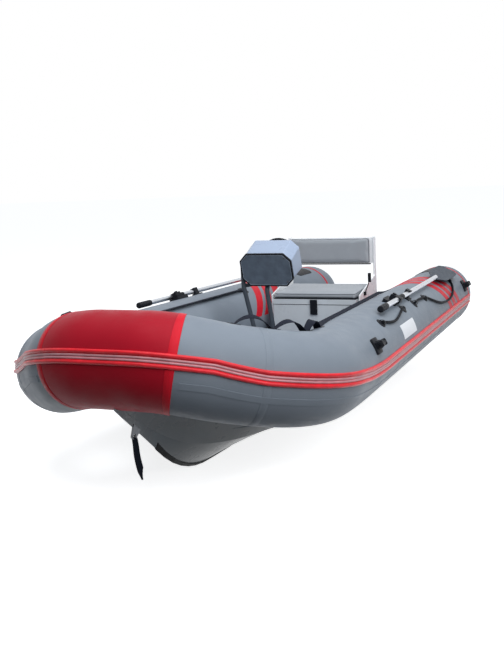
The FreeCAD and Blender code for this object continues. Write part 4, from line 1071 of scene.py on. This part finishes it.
def make_wheel(steps=12):
    rings = torus(WHEEL, BACK, WHEEL_R, RIM_R, 144, 16, 36, 0.05)
    piece("wheel_rim", rings, body="helm", node="steering_wheel", smooth=60.0, closed=True)
    for number, degrees in enumerate((90, 210, 330)):
        a = math.radians(degrees)
        ray = PORT * math.cos(a) + RISE * math.sin(a)
        rings = []
        for k in range(steps + 1):
            reach = SPOKE_FROM + (SPOKE_TO - SPOKE_FROM) * k / steps
            width = 0.012 - 0.005 * math.sin(math.pi * k / steps) ** 0.7
            rings.append(oval(WHEEL + ray * reach, BACK.cross(ray) * width, BACK * SPOKE_HALF_T, 16))
        piece(f"wheel_spoke_{number + 1}", rings, body="helm", smooth=60.0)
    piece("wheel_hub", lathe(HUB_ROWS, WHEEL, BACK), body="helm", smooth=50.0)
    boot_base = WHEEL - BACK * ((WHEEL - DASH).dot(BACK) - BOOT_SINK)
    piece("shaft_boot", lathe(BOOT_ROWS, boot_base, BACK, 40), smooth=50.0)


# Accessory mounts: a round cornered foot, a fluted knob and a barrel between two lugs
MOUNTS = ((1.356, 27.0), (3.844, 24.0))
KNOB_ROWS = ((0.008, 0.026), (0.012, 0.026), (0.013, 0.0235), (0.029, 0.0225), (0.031, 0.0205),
             (0.033, 0.0205))
BARREL_ROWS = ((-0.04, 0.008), (-0.039, 0.011), (-0.0365, 0.0125), (-0.036, 0.0148), (0.036, 0.0148),
               (0.0365, 0.0125), (0.039, 0.011), (0.04, 0.008))
BARREL_LIFT = 0.036
MOUNT_SIZE = (0.088, 0.088)
LUG_SIZE = (0.036, 0.009)
LUG_FROM_MIDDLE = 0.031


def make_mounts():
    for side_name, side in SIDES:
        for number, (s, degrees) in enumerate(MOUNTS):
            place, *axes = skin_axes(side * s, degrees)
            normal, _, forward = axes
            label = f"{side_name}_mount_{number + 1}"
            node = "accessory_mounts" if label == "port_mount_1" else None
            rings = slab(place, axes, MOUNT_SIZE, 0.016, -0.012, 0.01, 0.004)
            piece(label + "_base", rings, node=node, smooth=40.0)
            piece(label + "_knob", lathe(KNOB_ROWS, place, normal, 72, 12, 0.035), smooth=40.0)
            for end_name, end in (("aft", -1), ("fore", 1)):
                foot = place + forward * (LUG_FROM_MIDDLE * end)
                rings = slab(foot, axes, LUG_SIZE, 0.004, 0.008, 0.052, 0.006)
                piece(f"{label}_lug_{end_name}", rings, smooth=40.0)
            rings = lathe(BARREL_ROWS, place + normal * BARREL_LIFT, forward, 72, 12, 0.06)
            piece(label + "_barrel", rings, smooth=40.0)


# Rope eyelets: a disc and a flat loop over the rope
EYELETS = ((1.66, 49.0), (2.16, 49.5), (2.42, 47.0), (2.692, 46.0), (3.545, 46.0), (3.5, 72.0))
DISC_ROWS = ((-0.003, 0.03), (0.0008, 0.03), (0.0018, 0.0288), (0.0022, 0.026), (0.0022, 0.0125),
             (0.0032, 0.0115), (0.0036, 0.006), (0.0036, 0.0005))
LOOP_R = 0.0186
LOOP_SECTION = ((-0.008, -0.0006), (-0.0074, -0.0011), (0.0074, -0.0011), (0.008, -0.0006), (0.008, 0.0006),
                (0.0074, 0.0011), (-0.0074, 0.0011), (-0.008, 0.0006))


def eyelet_loop(place, normal, lines):
    """Half ring over the nearest rope, square to the rope's run there."""
    near = place + normal * ROPE_LIFT
    line = min(lines, key=lambda one: min((p - near).length for p in one))
    at = min(range(1, len(line) - 1), key=lambda k: (line[k] - near).length)
    run = (line[at + 1] - line[at - 1]).normalized()
    sideways = run.cross(normal).normalized()
    middle = line[at] - normal * normal.dot(line[at] - place)
    rings = []
    for k in range(19):
        a = math.radians(10 * k)
        ray = sideways * math.cos(a) + normal * math.sin(a)
        rings.append([middle + ray * (LOOP_R + thick) + run * along for along, thick in LOOP_SECTION])
    return rings


def make_eyelets():
    for side_name, side in SIDES:
        lines = [rope_lines[side_name, "fore"], rope_lines[side_name, "aft"]]
        for number, (s, degrees) in enumerate(EYELETS):
            place, normal, _, _ = skin_axes(side * s, degrees)
            label = f"{side_name}_eyelet_{number + 1}"
            node = "rope_eyelets" if label == "port_eyelet_1" else None
            piece(label + "_disc", lathe(DISC_ROWS, place, normal), node=node, smooth=40.0)
            piece(label + "_loop", eyelet_loop(place, normal, lines), smooth=60.0)


# Inflation valves: a flange and a fluted cap
VALVES = (("port_bow", 0.4, 150.0), ("port_side", 3.0, 165.0), ("starboard_side", -3.0, 165.0))
FLANGE_ROWS = ((-0.002, 0.03), (0.0025, 0.03), (0.0042, 0.0285), (0.005, 0.026), (0.005, 0.0215),
               (0.003, 0.0205), (0.003, 0.001))
VALVE_CAP_ROWS = ((0.002, 0.018), (0.0135, 0.018), (0.0155, 0.0165), (0.016, 0.014), (0.016, 0.001))


def make_valves():
    for label, s, degrees in VALVES:
        place, normal, _, _ = skin_axes(s, degrees)
        node = "inflation_valves" if label == "port_bow" else None
        piece(label + "_valve_seat", lathe(FLANGE_ROWS, place, normal), node=node, smooth=40.0)
        piece(label + "_valve_cap", lathe(VALVE_CAP_ROWS, place, normal, 96, 16, 0.03), smooth=40.0)


# Oars: dished blades with a rib, ribbed grips and sleeves, placed along the shaft from the rowlock
OAR_S = s_at(0.05)
OAR_DEG = 62.7
OAR_LIFT = 0.033
BLADE_HALF_T = 0.004
BLADE_SPOTS = ((-1.030, 0.020, 0.004), (-1.060, 0.0325, 0.0036), (-1.1, 0.05, 0.003), (-1.145, 0.069, 0.0022),
               (-1.2, 0.0745, 0.0014), (-1.3, 0.075, 0.001), (-1.42, 0.075, 0.001), (-1.51, 0.0745, 0.001),
               (-1.545, 0.064, 0.001), (-1.562, 0.049, 0.001), (-1.57, 0.033, 0.001))


def blade_rings(place, normal, across, forward):
    """Sections of the blade from its place along the shaft, half width and rib height."""
    rings = []
    for z, half, rib in BLADE_SPOTS:
        upper, lower = [], []
        for k in range(-12, 13):
            y = half * k / 12
            swell = 0.0022 * math.exp(-(y / 0.012) ** 2) * (0.4 + rib / BLADE_HALF_T)
            lip = 0.0012 * ease(abs(k) / 12, 0.82, 0.95)
            thick = min(0.0018 + swell + lip if abs(k) < 12 else 0.0014, BLADE_HALF_T)
            dish = -0.0012 * math.cos(math.pi * k / 24)
            base = place + across * y + forward * z
            upper.append(base + normal * min(dish + 0.001 + thick, BLADE_HALF_T))
            lower.append(base + normal * max(dish - thick, -BLADE_HALF_T))
        rings.append(upper + lower[::-1])
    return rings


def grip_rows():
    rows = [(0.27, 0.0165), (0.272, 0.0185)]
    for k in range(10):
        z = 0.276 + 0.012 * k
        rows += [(z, 0.0185), (z + 0.002, 0.019), (z + 0.008, 0.019), (z + 0.010, 0.0172)]
    return rows + [(0.396, 0.0185), (0.399, 0.0165), (0.4, 0.013)]


def sleeve_rows():
    rows = [(-0.115, 0.0155)]
    for k in range(7):
        z = -0.113 + 0.011 * k
        rows += [(z, 0.0172), (z + 0.008, 0.0172), (z + 0.0092, 0.0162)]
    return rows + [(-0.034, 0.0155)]


def make_oars():
    for side_name, side in SIDES:
        place, *axes = skin_axes(side * OAR_S, OAR_DEG, OAR_LIFT)
        body = side_name + "_oar"
        piece(side_name + "_blade", blade_rings(place, *axes), "blade_plastic", body, body + "_blade", 40.0)
        rings = lathe(grip_rows(), place, axes[2])
        piece(side_name + "_grip", rings, body=body, node=body + "_grip", smooth=40.0)
        piece(side_name + "_oar_sleeve", lathe(sleeve_rows(), place, axes[2]), body=body, smooth=40.0)


# Spray strips along the hull, laid on its sides
SPRAY_Y = (-1.18, 1.4)
SPRAY_Z = (-0.03, -0.115)
SPRAY_STEPS = 80
SPRAY_SECTION = ((-0.002, -0.016), (0.001, -0.014), (0.008, -0.003), (0.009, 0.004), (0.0075, 0.006),
                 (-0.002, 0.007))


def make_spray_strips():
    hull = BVHTree.FromObject(frame["nodes"]["hull"], bpy.context.evaluated_depsgraph_get())
    for side_name, side in SIDES:
        rings = []
        for k in range(SPRAY_STEPS + 1):
            t = k / SPRAY_STEPS
            y = SPRAY_Y[0] + (SPRAY_Y[1] - SPRAY_Y[0]) * t
            z = SPRAY_Z[0] + (SPRAY_Z[1] - SPRAY_Z[0]) * (1 - (1 - t) ** 2.5)
            hit, outward, _, _ = hull.ray_cast(Vector((side * 1.2, y, z)), PORT * -side)
            if hit is None:
                continue
            if outward.x * side < 0:
                outward = -outward
            down = outward.cross(AFT).normalized()
            if down.z > 0:
                down = -down
            taper = min(ease(t, 0.0, 0.06), 1 - ease(t, 0.95, 1.0)) * 0.9 + 0.1
            rings.append([hit + outward * (a * taper) + down * (b * taper) for a, b in SPRAY_SECTION])
        piece(side_name + "_spray_strip", rings, "hull_gelcoat", smooth=50.0)


make_tube()
make_cones()
make_strakes()
make_tapes()
make_strap()
make_ropes()
make_hand_lines()
make_cushions()
make_seat_trim()
round_edges()
make_console()
make_dash()
make_wheel()
make_mounts()
make_eyelets()
make_valves()
make_oars()
make_spray_strips()

# Stage
FLOOR_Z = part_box("keel_guard")[0].z - 0.001
FLOOR_REACH = 60.0
FLOOR_BOUNCE = (0.05, 0.05, 0.055, 1.0)
FLOOR_PALE = (0.9, 0.9, 0.9, 1.0)
FLOOR_WHITE = 0.8
SKY_FILL = (0.82, 0.9, 1.0, 1.0)
SKY_STRENGTH = 0.24


def mixed_output(tree, kind, hidden, seen):
    """Output of a node tree: one shader lights the object, the other shows behind it, in gloss and glass."""
    path = tree.nodes.new("ShaderNodeLightPath")
    factor = path.outputs["Is Camera Ray"]
    for name in ("Is Glossy Ray", "Is Transmission Ray"):
        node = tree.nodes.new("ShaderNodeMath")
        node.operation = "MAXIMUM"
        tree.links.new(factor, node.inputs[0])
        tree.links.new(path.outputs[name], node.inputs[1])
        factor = node.outputs["Value"]
    mix = tree.nodes.new("ShaderNodeMixShader")
    tree.links.new(factor, mix.inputs["Fac"])
    tree.links.new(hidden.outputs[0], mix.inputs[1])
    tree.links.new(seen.outputs[0], mix.inputs[2])
    tree.links.new(mix.outputs["Shader"], tree.nodes.new(kind).inputs["Surface"])


def stage_floor():
    mesh = bpy.data.meshes.new("floor")
    corners = [(x * FLOOR_REACH, y * FLOOR_REACH, FLOOR_Z) for x, y in ((-1, -1), (1, -1), (1, 1), (-1, 1))]
    mesh.from_pydata(corners, [], [(0, 1, 2, 3)])
    floor = bpy.data.objects.new("floor", mesh)
    bpy.context.scene.collection.objects.link(floor)
    material = bpy.data.materials.new("floor")
    material.use_nodes = True
    tree = material.node_tree
    tree.nodes.clear()
    dull = tree.nodes.new("ShaderNodeBsdfDiffuse")
    dull.inputs["Color"].default_value = FLOOR_BOUNCE
    pale = tree.nodes.new("ShaderNodeBsdfDiffuse")
    pale.inputs["Color"].default_value = FLOOR_PALE
    white = tree.nodes.new("ShaderNodeEmission")
    white.inputs["Strength"].default_value = FLOOR_WHITE
    seen = tree.nodes.new("ShaderNodeAddShader")
    tree.links.new(pale.outputs["BSDF"], seen.inputs[0])
    tree.links.new(white.outputs["Emission"], seen.inputs[1])
    mixed_output(tree, "ShaderNodeOutputMaterial", dull, seen)
    mesh.materials.append(material)


def sky():
    world = bpy.data.worlds.new("sky")
    bpy.context.scene.world = world
    world.use_nodes = True
    tree = world.node_tree
    tree.nodes.clear()
    fill = tree.nodes.new("ShaderNodeBackground")
    fill.inputs["Color"].default_value = SKY_FILL
    fill.inputs["Strength"].default_value = SKY_STRENGTH
    white = tree.nodes.new("ShaderNodeBackground")
    white.inputs["Color"].default_value = (1.0, 1.0, 1.0, 1.0)
    mixed_output(tree, "ShaderNodeOutputWorld", fill, white)


def lamp(name, place, target, size, watts, colour):
    light = bpy.data.lights.new(name, "AREA")
    light.shape = "RECTANGLE"
    light.size, light.size_y = size
    light.energy = watts
    light.color = colour
    obj = bpy.data.objects.new(name, light)
    obj.location = place
    obj.rotation_euler = (Vector(target) - Vector(place)).to_track_quat("-Z", "Y").to_euler()
    bpy.context.scene.collection.objects.link(obj)


stage_floor()
sky()
lamp("top_lamp", (1.4, -1.6, 5.2), (0, 0, 0), (6.0, 7.0), 400.0, (0.93, 0.96, 1.0))
lamp("port_lamp", (6.0, -3.0, 3.0), (0, 0, 0.2), (4.0, 3.0), 170.0, (1.0, 1.0, 1.0))

# Camera: the photograph's view, in a picture 672 px high
PICTURE_H = 672.0
FOCAL_PX = 927.12
SHIFT_PX = 40.0
CAMERA_PLACE = Vector((2.32052, -5.175, 1.215775))
YAW, PITCH, ROLL = 0.406312, 0.173952, -0.046115
SENSOR = 36.0


def make_camera():
    camera = bpy.data.cameras.new("camera")
    camera.sensor_fit = "VERTICAL"
    camera.sensor_height = SENSOR
    camera.lens = FOCAL_PX * SENSOR / PICTURE_H
    camera.shift_x = -SHIFT_PX / PICTURE_H
    camera.clip_end = 200.0
    forward = Vector((-math.sin(YAW) * math.cos(PITCH), math.cos(YAW) * math.cos(PITCH), -math.sin(PITCH)))
    right = Vector((math.cos(YAW), math.sin(YAW), 0.0))
    up = right.cross(forward)
    rolled_right = right * math.cos(ROLL) + up * math.sin(ROLL)
    rolled_up = up * math.cos(ROLL) - right * math.sin(ROLL)
    turn = Matrix((rolled_right, rolled_up, -forward)).transposed().to_4x4()
    obj = bpy.data.objects.new("camera", camera)
    obj.matrix_world = Matrix.Translation(CAMERA_PLACE) @ turn
    bpy.context.scene.collection.objects.link(obj)
    bpy.context.scene.camera = obj


make_camera()
bpy.context.scene.view_settings.view_transform = "Standard"
